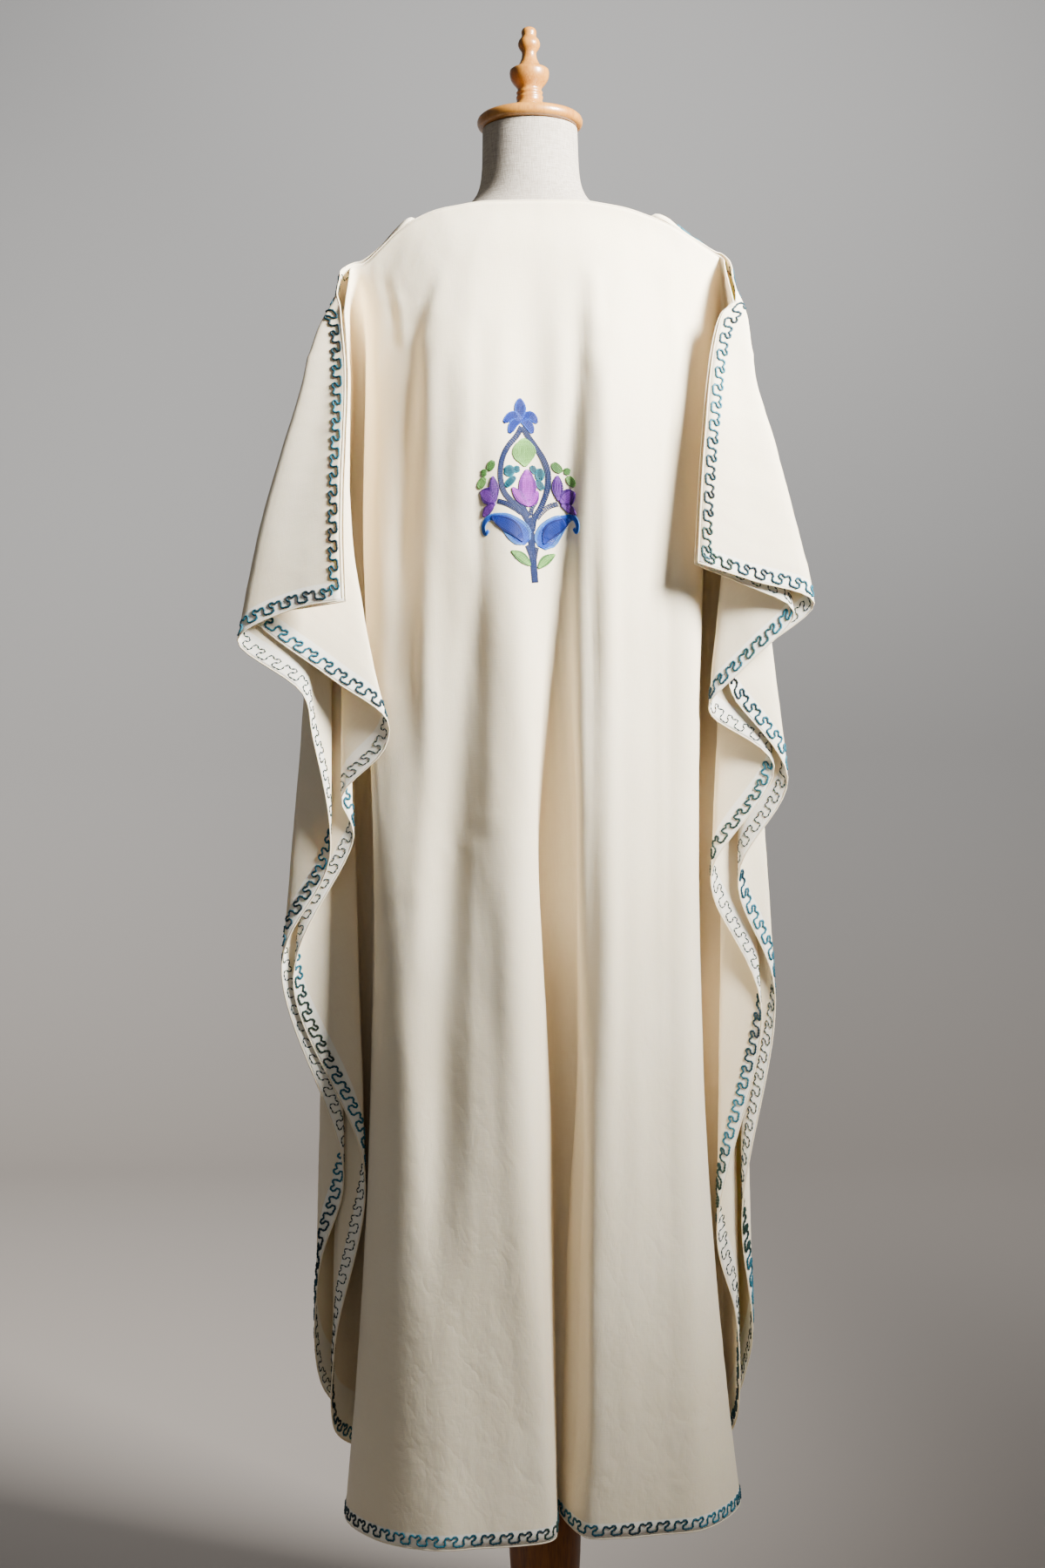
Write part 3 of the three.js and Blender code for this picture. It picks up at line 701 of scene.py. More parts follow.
def panel_mesh(name, points, cloth):
    a, b, c, d = patches(points)
    faces = np.column_stack([a, d, c, b])
    mesh = bpy.data.meshes.new(name)
    mesh.from_pydata(to_frame(points).reshape(-1, 3).tolist(), [], faces.tolist())
    uv = mesh.uv_layers.new(name="cloth_map")
    uv.data.foreach_set("uv", (cloth.reshape(-1, 2)[faces.reshape(-1)] * MM).ravel())
    mesh.shade_smooth()
    return mesh


print("mesh helpers ready")

# %% [markdown]
# ## The ivory cloth
# It is a light cotton, so the shader lets a little light through and has a faint sheen. Yarns of
# uneven thickness are noise drawn out along the warp and the weft, on the cloth's own map. The
# hems are turned in and lie double, so they look paler. Low down the cloth has a soft crumple.

# %% Ivory cloth
CREAM, PALE_CREAM, HEM_CREAM = (0.83, 0.70, 0.50), (0.90, 0.78, 0.585), (0.93, 0.88, 0.76, 1)
HEM_WIDTH, HEM_LINE = 0.0165, 0.001


def ivory_cloth():
    material, tree, shader = finish("ivory_cloth", Roughness=0.82, Subsurface_Weight=0.2,
                                    Subsurface_Radius=(0.006, 0.004, 0.002), Subsurface_Scale=0.6,
                                    Sheen_Weight=0.12, Sheen_Roughness=0.5, Specular_IOR_Level=0.3)
    map_in = node(tree, "ShaderNodeUVMap", uv_map="cloth_map").outputs["UV"]
    woven = weave(tree, map_in, (1500, 60, 1), (60, 1500, 1))
    blend = maths(tree, "MULTIPLY", woven, cloudy(tree, map_in, 5.0))
    colour = ramp(tree, blend, [(0.25, CREAM), (0.75, PALE_CREAM)])
    flat = node(tree, "ShaderNodeSeparateXYZ", {"Vector": map_in})
    across, down = maths(tree, "ABSOLUTE", flat.outputs["X"]), flat.outputs["Y"]
    side_line, low_line = HALF * MM - HEM_WIDTH, LENGTH * MM - HEM_WIDTH
    doubled = maths(tree, "MAXIMUM", ranged(tree, across, side_line, side_line + HEM_LINE),
                    ranged(tree, down, low_line, low_line + HEM_LINE))
    hemmed = node(tree, "ShaderNodeMix", {"Factor": doubled, "A": colour, "B": HEM_CREAM},
                  data_type="RGBA")
    result = [s for s in hemmed.outputs if s.type == "RGBA"][0]
    tree.links.new(result, shader.inputs["Base Color"])
    crumple = cloudy(tree, stretched(tree, map_in, (36, 24, 1)), detail=3.5, distortion=0.2)
    ridge = maths(tree, "ABSOLUTE", maths(tree, "SUBTRACT", crumple, 0.5))
    pressed = maths(tree, "MULTIPLY", ridge, ranged(tree, down, 0.8, 1.3, 0.22, 1.0))
    bump(tree, shader, pressed, 0.35, 0.006)
    bump(tree, shader, woven, 0.22, 0.0004)
    return material


cloth_finish = ivory_cloth()
print(cloth_finish.name, "made")

# %% [markdown]
# ## The two panels
# Both panels are sheets of the same cloth. Solidify gives each its thickness, half to either side.

# %% Build the two panels
CLOTH_THICKNESS = 0.9
back_points = creased(back_net, back_cloth, BACK_CREASES, 3.1, -1)
front_points = creased(front_net, front_cloth, FRONT_CREASES, 8.7, 1)
for label, points, cloth in (("back", back_points, back_cloth), ("front", front_points, front_cloth)):
    mesh = panel_mesh("kaftan_%s_cloth" % label, points, cloth)
    piece = add_piece("kaftan_%s_cloth" % label, mesh, cloth_finish)
    wall = piece.modifiers.new("thickness", "SOLIDIFY")
    wall.thickness = CLOTH_THICKNESS * MM
    wall.offset = 0
    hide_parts("kaftan_%s" % label)
    print(piece.name, len(mesh.polygons) * 4, "triangles with its thickness")

# %% [markdown]
# ## Finding a place on the cloth
# Embroidery is drawn on the flat cloth, then hung. The flat map is kept as a tree of triangles: a
# point dropped on it tells which triangle it lies in, and the same triangle of the hung cloth gives
# the place in space and the way the cloth faces there.

# %% Look-up on the cloth
class Lookup:
    def __init__(self, points, cloth):
        a, b, c, d = patches(points)
        self.faces = np.vstack([np.column_stack([a, d, c]), np.column_stack([a, c, b])])
        self.flat = np.column_stack([cloth.reshape(-1, 2), np.zeros(cloth[..., 0].size)])
        self.points = points.reshape(-1, 3)
        self.out = normals_of(points).reshape(-1, 3)
        self.tree = BVHTree.FromPolygons([Vector(p) for p in self.flat], self.faces.tolist())

    def at(self, u, v):
        """The place of (u, v) on the hung cloth, and its normal there."""
        spot, _, face, _ = self.tree.find_nearest(Vector((u, v, 0)))
        corners = self.faces[face]
        a, b, c = self.flat[corners][:, :2]
        p = np.array(spot[:2])
        area = (b[0] - a[0]) * (c[1] - a[1]) - (c[0] - a[0]) * (b[1] - a[1])
        if abs(area) < 1e-9:
            weights = np.array([1, 0, 0])
        else:
            w1 = ((p[0] - a[0]) * (c[1] - a[1]) - (c[0] - a[0]) * (p[1] - a[1])) / area
            w2 = ((b[0] - a[0]) * (p[1] - a[1]) - (p[0] - a[0]) * (b[1] - a[1])) / area
            weights = np.array([1 - w1 - w2, w1, w2])
        return weights @ self.points[corners], weights @ self.out[corners]


on_back = Lookup(back_points, back_cloth)
on_front = Lookup(front_points, front_cloth)
print("middle of the back at", np.round(on_back.at(0, 400)[0]))

# %% [markdown]
# ## Thread
# A row of chain stitch is a soft cord that lies on the cloth and swells with every stitch. It is
# swept by hand in mesh code, because the cloth's own normal keeps it flat on every fold, where a
# curve's bevel would twist. Each row carries its colour in an attribute, since the yarn is dyed
# unevenly along its length.

# %% Sweep rows of stitches
class Yarn:
    def __init__(self):
        self.verts, self.faces, self.tints = [], [], []

    def lay(self, places, radius, tint, sides=5, raise_by=0.5, swell=0.22, flat=0.85):
        """places: (point, normal) pairs in mm. tint: one colour, or a colour for each place."""
        points = np.array([p for p, _ in places])
        out = np.array([n for _, n in places])
        if len(points) < 2:
            return
        side = unit(np.cross(unit(np.gradient(points, axis=0)), out))
        tint = np.broadcast_to(np.array(tint, float), (len(points), 3))
        size = radius * (1 + swell * np.where(np.arange(len(points)) % 2, 1, -1))
        size[0] = size[-1] = radius * 0.5
        start = len(self.verts)
        for k in range(len(points)):
            centre = points[k] + out[k] * (raise_by + radius * flat * 0.6)
            for n in range(sides):
                angle = 2 * math.pi * n / sides
                ring = side[k] * math.cos(angle) + out[k] * math.sin(angle) * flat
                self.verts.append(centre + ring * size[k])
                self.tints.append(tint[k])
        for k in range(len(points) - 1):
            for n in range(sides):
                a = start + k * sides + n
                b = start + k * sides + (n + 1) % sides
                self.faces.append((a, b, b + sides, a + sides))
        self.faces.append(tuple(start + n for n in reversed(range(sides))))
        last = start + (len(points) - 1) * sides
        self.faces.append(tuple(last + n for n in range(sides)))

    def piece(self, name, material, slot="thread"):
        mesh = bpy.data.meshes.new(name)
        mesh.from_pydata(to_frame(np.array(self.verts)).tolist(), [], self.faces)
        dyed = mesh.attributes.new("tint", "FLOAT_COLOR", "POINT")
        colours = np.column_stack([np.array(self.tints), np.ones(len(self.tints))])
        dyed.data.foreach_set("color", colours.ravel())
        mesh.shade_smooth()
        made = add_piece(name, mesh, material)
        print(name, sum(len(f) - 2 for f in self.faces), "triangles")
        return made


def thread_finish():
    material, tree, shader = finish("dyed_thread", Roughness=0.55, Sheen_Weight=0.04,
                                    Sheen_Roughness=0.4, Specular_IOR_Level=0.3)
    dye = node(tree, "ShaderNodeAttribute", attribute_name="tint").outputs["Color"]
    where = node(tree, "ShaderNodeTexCoord").outputs["Object"]
    fibre = cloudy(tree, where, 900.0)
    shade = ranged(tree, fibre, 0.3, 0.7, 0.82, 1.15)
    dyed = node(tree, "ShaderNodeVectorMath", {0: dye, 1: shade}, operation="MULTIPLY")
    tree.links.new(dyed.outputs["Vector"], shader.inputs["Base Color"])
    bump(tree, shader, fibre, 0.35, 0.0003)
    return material


def srgb(r, g, b):
    """A screen colour of 0 to 255 as the linear light that a shader wants."""
    return np.array([((c / 255 + 0.055) / 1.055) ** 2.4 if c > 10 else c / 3295 for c in (r, g, b)])


thread = thread_finish()
print(thread.name, "made")

# %% [markdown]
# ## The border
# A meander in one row of chain stitch runs a few millimetres inside every free edge. One unit of it
# is a short list of points, and it is laid again and again at an even pitch along the edge as it
# hangs. The dye goes from dark teal to pale blue every few units. On the wrong side only a thin
# thread shows, so that side has a piece of its own.

# %% One unit of the meander
PITCH, TALL, INSET = 19.5, 10.5, 3.6
UNIT = [(0.00, 0.93), (0.20, 0.73), (0.40, 1.00), (0.53, 0.85), (0.50, 0.60), (0.32, 0.42),
        (0.30, 0.12), (0.38, 0.00), (0.60, 0.03), (0.82, 0.10), (0.86, 0.35), (0.84, 0.55),
        (0.92, 0.85)]
DARK_TEAL, TEAL = srgb(4, 40, 50), srgb(8, 70, 86)
PALE_TEAL, OLIVE, WRONG_SIDE = srgb(36, 108, 128), srgb(34, 52, 28), srgb(34, 54, 52)
STITCH, THIN_STITCH = 1.22, 0.6  # half the width of a row on the right and on the wrong side


def smooth_path(points, step):
    """Points of a smooth open curve through the given ones, about step apart."""
    points = [np.array(p, float) for p in points]
    ends = [2 * points[0] - points[1], *points, 2 * points[-1] - points[-2]]
    made = [points[0]]
    for k in range(len(points) - 1):
        count = max(1, round(np.linalg.norm(points[k + 1] - points[k]) / step))
        made.extend(spline(*ends[k:k + 4], np.arange(1, count + 1) / count))
    return made


def dye_along(count, seed):
    """The colour of each place along a row: it drifts, and now and then a length is olive."""
    tints = []
    for k in range(count):
        wave = 0.5 + 0.5 * math.sin(k * 0.021 + seed * 3)
        wave += 0.35 * noise.noise(Vector((k * 0.05, seed, 0)))
        tints.append(mix(DARK_TEAL, TEAL, min(1, 2 * wave)) if wave < 0.5
                     else mix(TEAL, PALE_TEAL, min(1, 2 * wave - 1)))
        if noise.noise(Vector((k * 0.006, seed, 5))) > 0.32:
            tints[-1] = mix(tints[-1], OLIVE, 0.6)
    return tints


print("unit of", len(UNIT), "points, every", PITCH, "mm")

# %% Lay the meander
def meander(edge, lookup, right_side, wrong_side, seed):
    """edge: (u, v, inward u, inward v) along one free edge. Where the net draws the cloth out or
    in across the edge, the depth of each point makes up for it."""
    def hung(inwards):
        return np.array([lookup.at(u + inwards * in_u, v + inwards * in_v)[0]
                         for u, v, in_u, in_v in edge])

    reached = np.concatenate([[0], np.cumsum(np.linalg.norm(np.diff(hung(8), axis=0), axis=1))])
    count = max(1, round(reached[-1] / PITCH))
    pitch = reached[-1] / count
    drawn = [((k + s) * pitch, INSET + h * TALL) for k in range(count) for s, h in UNIT]
    table = np.array(edge, float)
    stretch = np.clip(np.linalg.norm(hung(14) - hung(1), axis=1) / 13, 0.75, 3)

    def places(step):
        made = []
        for s, h in smooth_path(drawn, step):
            u, v, in_u, in_v = (np.interp(s, reached, table[:, n]) for n in range(4))
            depth = h / np.interp(s, reached, stretch) + 0.5 * noise.noise(Vector((s / 14, h / 9, seed)))
            made.append(lookup.at(u + in_u * depth, v + in_v * depth))
        return made

    front = places(1.5)
    right_side.lay(front, STITCH, dye_along(len(front), seed), raise_by=0.35)
    behind = [(p, -n) for p, n in places(2.4)]
    wrong_side.lay(behind, THIN_STITCH, WRONG_SIDE, sides=4, raise_by=0.4, swell=0.5)


def run(start, end, inward, count=90):
    (u0, v0), (u1, v1) = start, end
    return [(mix(u0, u1, k / count), mix(v0, v1, k / count), *inward) for k in range(count + 1)]


for label, lookup in (("back", on_back), ("front", on_front)):
    right_side, wrong_side = Yarn(), Yarn()
    meander(run((-HALF, 18), (-HALF, LENGTH - 5), (1, 0)), lookup, right_side, wrong_side, 1.3)
    meander(run((-HALF + 5, LENGTH), (HALF - 5, LENGTH), (0, -1)), lookup, right_side, wrong_side, 4.1)
    meander(run((HALF, LENGTH - 18), (HALF, 5), (-1, 0)), lookup, right_side, wrong_side, 6.6)
    if label == "front":
        meander(run((-HALF + 5, 0), (-205, 0), (0, 1)), lookup, right_side, wrong_side, 9.2)
        meander(run((155, 0), (HALF - 5, 0), (0, 1)), lookup, right_side, wrong_side, 12.7)
    right_side.piece("border_%s" % label, thread)
    wrong_side.piece("border_%s_wrong_side" % label, thread)

# %% [markdown]
# ## The flower on the back
# Between the shoulder blades stands one flower: a stem that parts into an arch, leaves, tulips and
# two curled paisleys. Each form is filled with rows of chain stitch that follow its length and
# draw together at its ends, so a form needs only a middle line, a width and a pair of colours.
# Sizes are in millimetres from the foot of the stem.

# %% Fill a form with stitches
FOOT_X, FOOT_V, LEAN = -4, 415, 0.033  # where the foot stands on the cloth, and the flower's tilt
LEAF = (0.06, 0.5, 0.86, 1.0, 0.9, 0.6, 0.1)
OVAL = (0.3, 0.74, 0.94, 1.0, 0.94, 0.74, 0.3)
STEM = (1.0, 1.0, 1.0, 1.0)
CURL = (0.35, 0.9, 1.0, 0.95, 0.82, 0.66, 0.42, 0.26, 0.2, 0.17, 0.15, 0.13)
ROW_GAP, ROW = 1.15, 0.62  # from row to row, and half the width of one
RIM_SHARE = 0.72  # rows further out than this have the rim's colour


def fill(yarn, middle, half, shape, rim, core, layer=0):
    """Lay rows of stitches along a form: middle line, half width, its share along the line."""
    line = np.array(smooth_path(middle, ROW_GAP))
    way = unit(np.gradient(line, axis=0))
    side = np.column_stack([-way[:, 1], way[:, 0]])
    wide = half * np.interp(np.linspace(0, 1, len(line)), np.linspace(0, 1, len(shape)), shape)
    rows = max(2, round(2 * half / ROW_GAP) + 1)
    for k in range(rows):
        share = -1 + 2 * k / (rows - 1)
        keep = np.full(len(line), True)
        if k % 2 and rows > 3:
            keep = 2 * wide / (rows - 1) > 0.5 * ROW_GAP
        if keep.sum() < 4:
            continue
        path = (line + side * (share * wide)[:, None])[keep]
        tone = (rim if abs(share) > RIM_SHARE else core) * (0.82 if k % 2 else 1.12)
        places, tints = [], []
        for x, y in path:
            v = FOOT_V - y
            places.append(on_back.at(FOOT_X + x - LEAN * (v - 200), v))
            tints.append(tone * (1 + 0.22 * noise.noise(Vector((x / 5, y / 9, k * 1.7)))))
        yarn.lay(places, ROW, np.array(tints), raise_by=0.35 + 0.35 * layer, swell=0.2)


# %% Colours of the flower
SLATE, SLATE_DARK = srgb(24, 40, 84), srgb(14, 26, 62)
BLUE, BLUE_DEEP = srgb(22, 66, 160), srgb(8, 36, 118)
SKY, NAVY = srgb(54, 108, 178), srgb(4, 20, 86)
GREEN, GREEN_PALE = srgb(66, 110, 50), srgb(104, 152, 76)
SEA, SEA_DEEP = srgb(10, 98, 112), srgb(4, 68, 82)
PURPLE, LILAC = srgb(54, 12, 92), srgb(92, 42, 130)
MAGENTA, VIOLET = srgb(146, 36, 164), srgb(102, 18, 126)

print("the foot of the stem hangs at", np.round(on_back.at(FOOT_X, FOOT_V)[0]))

# %% Stems
flower = Yarn()
for middle, half in (
    (((-10, 161), (-15, 152), (-25, 140), (-31, 127), (-33, 111), (-30, 96), (-22, 85), (-13, 76),
      (-6, 64)), 2.3),
    (((-9, 161), (-5, 153), (4, 140), (12, 127), (16, 114), (16, 100), (13, 88), (8, 77), (2, 68),
      (-1, 54)), 2.4),
    (((-5, 68), (-3, 52), (-2, 33), (0, 0)), 3.4),
    (((-37, 86), (-28, 83), (-18, 77), (-12, 72)), 2.0),
    (((25, 82), (17, 79), (9, 72), (4, 66)), 2.0),
    (((-18, 86), (-11, 79), (-5, 68)), 2.1),
    (((4, 85), (-1, 77), (-3, 69)), 2.0),
    (((-8, 39), (-5, 31), (-3, 24)), 1.5),
    (((4, 37), (2, 30), (1, 24)), 1.4),
):
    fill(flower, middle, half, STEM, SLATE_DARK, SLATE)
print("stems:", len(flower.faces), "faces")

# %% The blue star on top
for middle, half, shape in (
    (((-10.5, 167), (-11.5, 179), (-12, 190)), 5.6, LEAF),
    (((-10, 167), (-19, 172.5), (-28.5, 165)), 3.9, OVAL),
    (((-11, 167), (-2, 172.5), (6.4, 164.5)), 3.9, OVAL),
    (((-10, 168), (-18, 164), (-22.6, 154)), 3.9, OVAL),
    (((-11, 168), (-3.5, 163), (1.6, 154)), 3.9, OVAL),
):
    fill(flower, middle, half, shape, BLUE, BLUE_DEEP, 1)

# %% Green leaves
for middle, half, shape, rim, core in (
    (((-7, 120), (-8, 134), (-8.5, 149)), 12.0, LEAF, GREEN_PALE, GREEN_PALE * 1.1),
    (((-24, 34), (-15, 28), (-5, 18)), 4.6, LEAF, GREEN, GREEN_PALE),
    (((21, 30), (13, 24), (4, 15)), 4.4, LEAF, GREEN, GREEN_PALE),
    (((-46, 117), (-43, 122), (-40.5, 127)), 3.7, OVAL, GREEN, GREEN),
    (((-54.5, 115), (-51, 115), (-47.5, 114.5)), 3.3, OVAL, GREEN, GREEN),
    (((-49, 110), (-54, 105), (-58.5, 99)), 4.0, OVAL, GREEN, GREEN_PALE * 0.8),
    (((28, 114), (24, 119), (21, 124)), 3.7, OVAL, GREEN, GREEN),
    (((30, 115.5), (33.5, 115.5), (37, 115)), 3.2, OVAL, GREEN, GREEN),
    (((33, 110), (38, 105), (42.5, 100)), 4.0, OVAL, GREEN, GREEN_PALE * 0.8),
):
    fill(flower, middle, half, shape, rim, core, 1)

# %% Sea-green buds inside the arch
for middle, half in (
    (((-29, 116), (-23.5, 116), (-18, 116)), 5.6),
    (((-19, 117.5), (-16, 117.5), (-12.5, 118)), 3.3),
    (((-28, 99.5), (-23, 105), (-17.5, 110)), 3.3),
    (((-0.5, 121), (1.5, 117), (3.5, 112.5)), 2.8),
    (((8, 118), (8, 111.5), (8.5, 105)), 4.4),
    (((4.5, 106), (8, 101), (11, 96)), 3.2),
):
    fill(flower, middle, half, OVAL, SEA, SEA_DEEP, 1)

# %% Three tulips
for middle, half, rim, core in (
    (((-4.6, 79), (-13, 88), (-21, 99)), 4.4, VIOLET, MAGENTA),
    (((-4.6, 79), (1, 86), (5.5, 95)), 4.4, VIOLET, MAGENTA),
    (((-4.6, 79), (-5.2, 98), (-5.4, 117)), 9.0, VIOLET, MAGENTA),
    (((-39, 84), (-47, 91), (-56, 96)), 8.4, PURPLE, LILAC),
    (((-38.5, 86), (-40, 98), (-41.5, 111)), 4.6, PURPLE, LILAC),
    (((-39, 83), (-47, 78), (-54, 70)), 4.2, PURPLE, LILAC),
    (((26, 83), (35, 89), (43.5, 93)), 8.6, PURPLE, LILAC),
    (((25, 85), (24.5, 98), (24.5, 111)), 4.6, PURPLE, LILAC),
    (((27, 81), (36, 77), (44.5, 71)), 4.2, PURPLE, LILAC),
):
    fill(flower, middle, half, LEAF, rim, core, 2)

# %% Two paisleys with a dark almond in each
for middle, almond in (
    (((-7, 42), (-18, 55), (-33, 67), (-47, 69), (-54, 61), (-52, 53), (-48, 56.5)),
     ((-12, 43), (-21, 56.5), (-44, 70))),
    (((8, 36), (16, 52), (30, 65.5), (41, 68), (46, 60.5), (44.5, 53), (41, 57)),
     ((10.5, 40), (18, 54), (36, 66.5))),
):
    fill(flower, middle, 11.8, CURL, SKY, BLUE, 0)
    fill(flower, almond, 7.0, LEAF, NAVY, BLUE_DEEP, 2)
flower.piece("flower_on_back", thread)

# %% [markdown]
# ## Rolled hems
# Every edge of both panels is rolled to the width of a cord and caught down. A thin cord along the
# edge gives that roll its roundness. It is laid in four lengths, which meet end to end.

# %% Roll the hems
HEM_ROLL, HEM_TINT = 0.95, (0.8, 0.8, 0.8)


def hem(label, points):
    rows, columns = points.shape[:2]
    out = normals_of(points)
    loop = [(0, i) for i in range(columns)]
    loop += [(j, columns - 1) for j in range(1, rows)]
    loop += [(rows - 1, i) for i in range(columns - 2, -1, -1)]
    loop += [(j, 0) for j in range(rows - 2, 0, -1)]
    roll = Yarn()
    for quarter in range(4):
        share = loop[quarter * len(loop) // 4:(quarter + 1) * len(loop) // 4 + 1]
        roll.lay([(points[at], out[at]) for at in share], HEM_ROLL, HEM_TINT, sides=6,
                 raise_by=-0.5, swell=0.0)
    return roll.piece("hem_%s" % label, cloth_finish, "kaftan_cloth")


hems = {"back": hem("back", back_points), "front": hem("front", front_points)}

# %% [markdown]
# ## Sheets of cloth
# Each panel was cut from a flat piece; the front lacks the scoop of its neckline.

# %% [markdown]
# ## The covered form
# The form is a shell padded and covered in linen. A ring of vertices is made for every section, the
# rings are bridged, and a subdivision surface rounds the result. Under the kaftan its back is kept
# flatter than the CAD solid's, so that the deepest folds hang clear of it.

# %% Form
FORM_SECTIONS = [  # z, half width, back, front
    (862, 96, -26, 50), (869, 124, -34, 68), (890, 138, -38, 78), (960, 138, -42, 82),
    (1040, 124, -46, 82), (1120, 132, -58, 92), (1220, 150, -74, 108), (1330, 160, -88, 114),
    (1430, 166, -94, 92), (1500, 168, -86, 58), (1545, 160, -70, 40), (1576, 138, -60, 30),
    (1604, 116, -56, 32), (1624, 86, -54, 38), (1641, 61, -52, 46), (1664, 54, -51, 49),
    (1692, 53, -50, 50), (1718, 52.5, -51, 51), (1722, 52.5, -51, 51),
]


def form_mesh():
    bm = bmesh.new()
    rings = []
    for z, half, back, front in FORM_SECTIONS:
        made = bmesh.ops.create_circle(bm, segments=36, radius=1)["verts"]
        bmesh.ops.scale(bm, verts=made, vec=(half * MM, (front - back) / 2 * MM, 1))
        bmesh.ops.translate(bm, verts=made, vec=(0, ((front + back) / 2 - STAND_AXIS) * MM, z * MM))
        rings.append({e for v in made for e in v.link_edges})
    for low, high in zip(rings, rings[1:]):
        bmesh.ops.bridge_loops(bm, edges=list(low | high))
    ends = [e for e in bm.edges if e.is_boundary]
    bmesh.ops.holes_fill(bm, edges=ends, sides=0)
    caps = [f for f in bm.faces if len(f.verts) > 4]
    bmesh.ops.inset_region(bm, faces=caps, thickness=0.003)
    bmesh.ops.recalc_face_normals(bm, faces=bm.faces[:])
    mesh = bpy.data.meshes.new("covered_form")
    bm.to_mesh(mesh)
    bm.free()
    mesh.shade_smooth()
    return mesh


def linen_cover():
    material, tree, shader = finish("form_linen", Roughness=0.88, Specular_IOR_Level=0.2)
    where = node(tree, "ShaderNodeTexCoord").outputs["Object"]
    woven = weave(tree, where, (1300, 1300, 90), (90, 90, 1300))
    colour = ramp(tree, maths(tree, "MULTIPLY", woven, 0.5),
                  [(0.38, (0.31, 0.27, 0.22)), (0.62, (0.50, 0.45, 0.38))])
    tree.links.new(colour, shader.inputs["Base Color"])
    bump(tree, shader, woven, 0.5, 0.0006)
    return material


linen = linen_cover()
form = add_piece("covered_form", form_mesh(), linen)
rounding = form.modifiers.new("rounding", "SUBSURF")
rounding.levels = rounding.render_levels = 2
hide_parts("form_torso")
print(form.name, "made")

# %% [markdown]
# ## Turned wood
# A turner cuts every one of these pieces on a lathe, so each is a profile spun round the axis. The
# profile rows are radius and height. A close spin with merged ends makes a closed skin.

# %% Wood finishes
def wood(name, light, dark, roughness, coat):
    """Grain drawn out up the stand, with fine pores, under a thin varnish."""
    material, tree, shader = finish(name, Roughness=roughness, Coat_Weight=coat, Coat_Roughness=0.12)
    where = node(tree, "ShaderNodeTexCoord").outputs["Object"]
    figure = cloudy(tree, stretched(tree, where, (60, 60, 7)), 1.3, 5.0, 0.8)
    pores = cloudy(tree, stretched(tree, where, (900, 900, 45)))
    grain = maths(tree, "MULTIPLY", maths(tree, "ADD", figure, pores), 0.5)
    between = mix(np.array(dark), np.array(light), 0.6)
    colour = ramp(tree, grain, [(0.36, dark), (0.50, between), (0.64, light)])
    tree.links.new(colour, shader.inputs["Base Color"])
    bump(tree, shader, grain, 0.12, 0.0005)
    return material


pine = wood("honey_pine", (0.49, 0.215, 0.035), (0.30, 0.11, 0.014), 0.36, 0.35)
walnut = wood("dark_walnut", (0.32, 0.11, 0.008), (0.15, 0.045, 0.004), 0.45, 0.15)
print(pine.name, "and", walnut.name, "made")

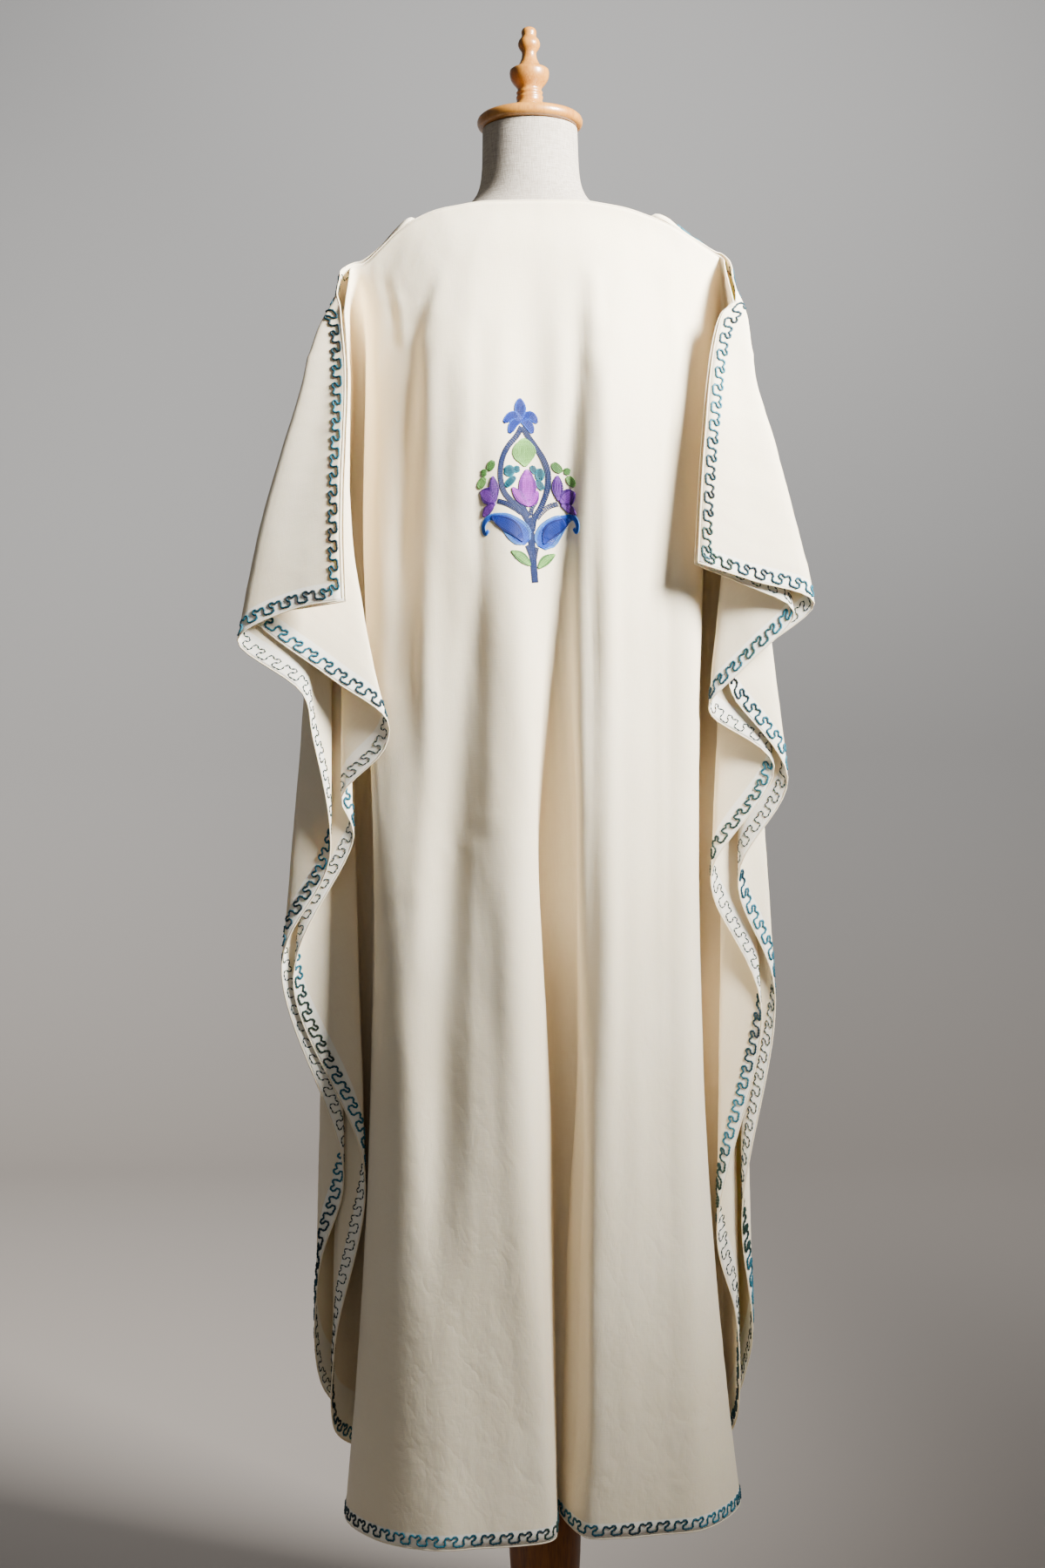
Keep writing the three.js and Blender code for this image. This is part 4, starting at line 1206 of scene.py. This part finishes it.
# %% Profiles
CAP = [(50, 1722.3), (54, 1722.8), (56.8, 1724.4), (58, 1727), (58.2, 1730), (57, 1733),
       (54.5, 1735.2), (50, 1736.8), (38, 1738.4), (24, 1739.6), (20, 1740)]
FINIAL = [(21, 1740.3), (21, 1742.5), (20.2, 1744.5), (17.6, 1747), (15.4, 1750), (14, 1753),
          (14.6, 1755.4), (14.8, 1757.3), (13.2, 1759.2), (14.2, 1760.6), (14.6, 1762.2),
          (13.1, 1764.2), (13.3, 1766.5), (15.2, 1769.3), (18, 1772.4), (20.3, 1776), (21.5, 1780),
          (21.8, 1784), (21.2, 1787), (19, 1788.6), (15, 1790), (12, 1792.4), (10, 1796),
          (8.4, 1800), (7.8, 1804.6), (8.2, 1807.4), (10.4, 1810.2), (12, 1813.4), (12.2, 1816.4),
          (11, 1820), (8.6, 1822.8), (7.8, 1825), (8.3, 1827.6), (8.2, 1830), (6.8, 1832.6),
          (4, 1834.2), (1.5, 1834.5)]
COLUMN = [(30, 34.3), (33, 36), (34, 43), (32, 49), (27, 53), (26, 57), (28, 64), (31, 74), (34, 90),
          (36, 104), (38, 124), (39.5, 150), (40.5, 180), (40.4, 210), (39, 260), (36.4, 300), (33, 340),
          (29, 386), (26, 430), (23.6, 475), (22, 520), (20.6, 580), (20, 640), (20.6, 668), (22, 680),
          (25.6, 684), (27, 690), (25.6, 696), (22, 701), (20.8, 715), (20, 740), (20, 861.7)]
BASE = [(174, 0), (178, 1.2), (180, 4), (180, 14), (178.6, 18), (174, 21.6), (163, 24.4), (150, 26),
        (104, 28), (70, 29.4), (60, 30.4), (55, 32.4), (52, 34)]


print("profile rows:", [len(rows) for rows in (CAP, FINIAL, COLUMN, BASE)])

# %% Spin the profiles
def turned(name, profile, material, replaced, around, axis_y=0):
    bm = bmesh.new()
    rows = [(0, profile[0][1]), *profile, (0, profile[-1][1])]
    verts = [bm.verts.new((r * MM, 0, z * MM)) for r, z in rows]
    edges = [bm.edges.new(pair) for pair in zip(verts, verts[1:])]
    bmesh.ops.spin(bm, geom=verts + edges, cent=(0, 0, 0), axis=(0, 0, 1), angle=2 * math.pi,
                   steps=around, use_merge=True)
    bmesh.ops.remove_doubles(bm, verts=bm.verts[:], dist=1e-6)
    bmesh.ops.recalc_face_normals(bm, faces=bm.faces[:])
    bmesh.ops.translate(bm, verts=bm.verts[:], vec=(0, axis_y * MM, 0))
    mesh = bpy.data.meshes.new(name)
    bm.to_mesh(mesh)
    bm.free()
    mesh.shade_smooth()
    piece = add_piece(name, mesh, material)
    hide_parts(replaced)
    print(name, len(mesh.polygons), "faces")


turned("cap_turned", CAP, pine, "neck_cap", 96, -STAND_AXIS)
turned("finial_turned", FINIAL, pine, "finial", 72, -STAND_AXIS)
turned("column_turned", COLUMN, walnut, "stand_column", 80)
turned("base_turned", BASE, walnut, "stand_base", 128)
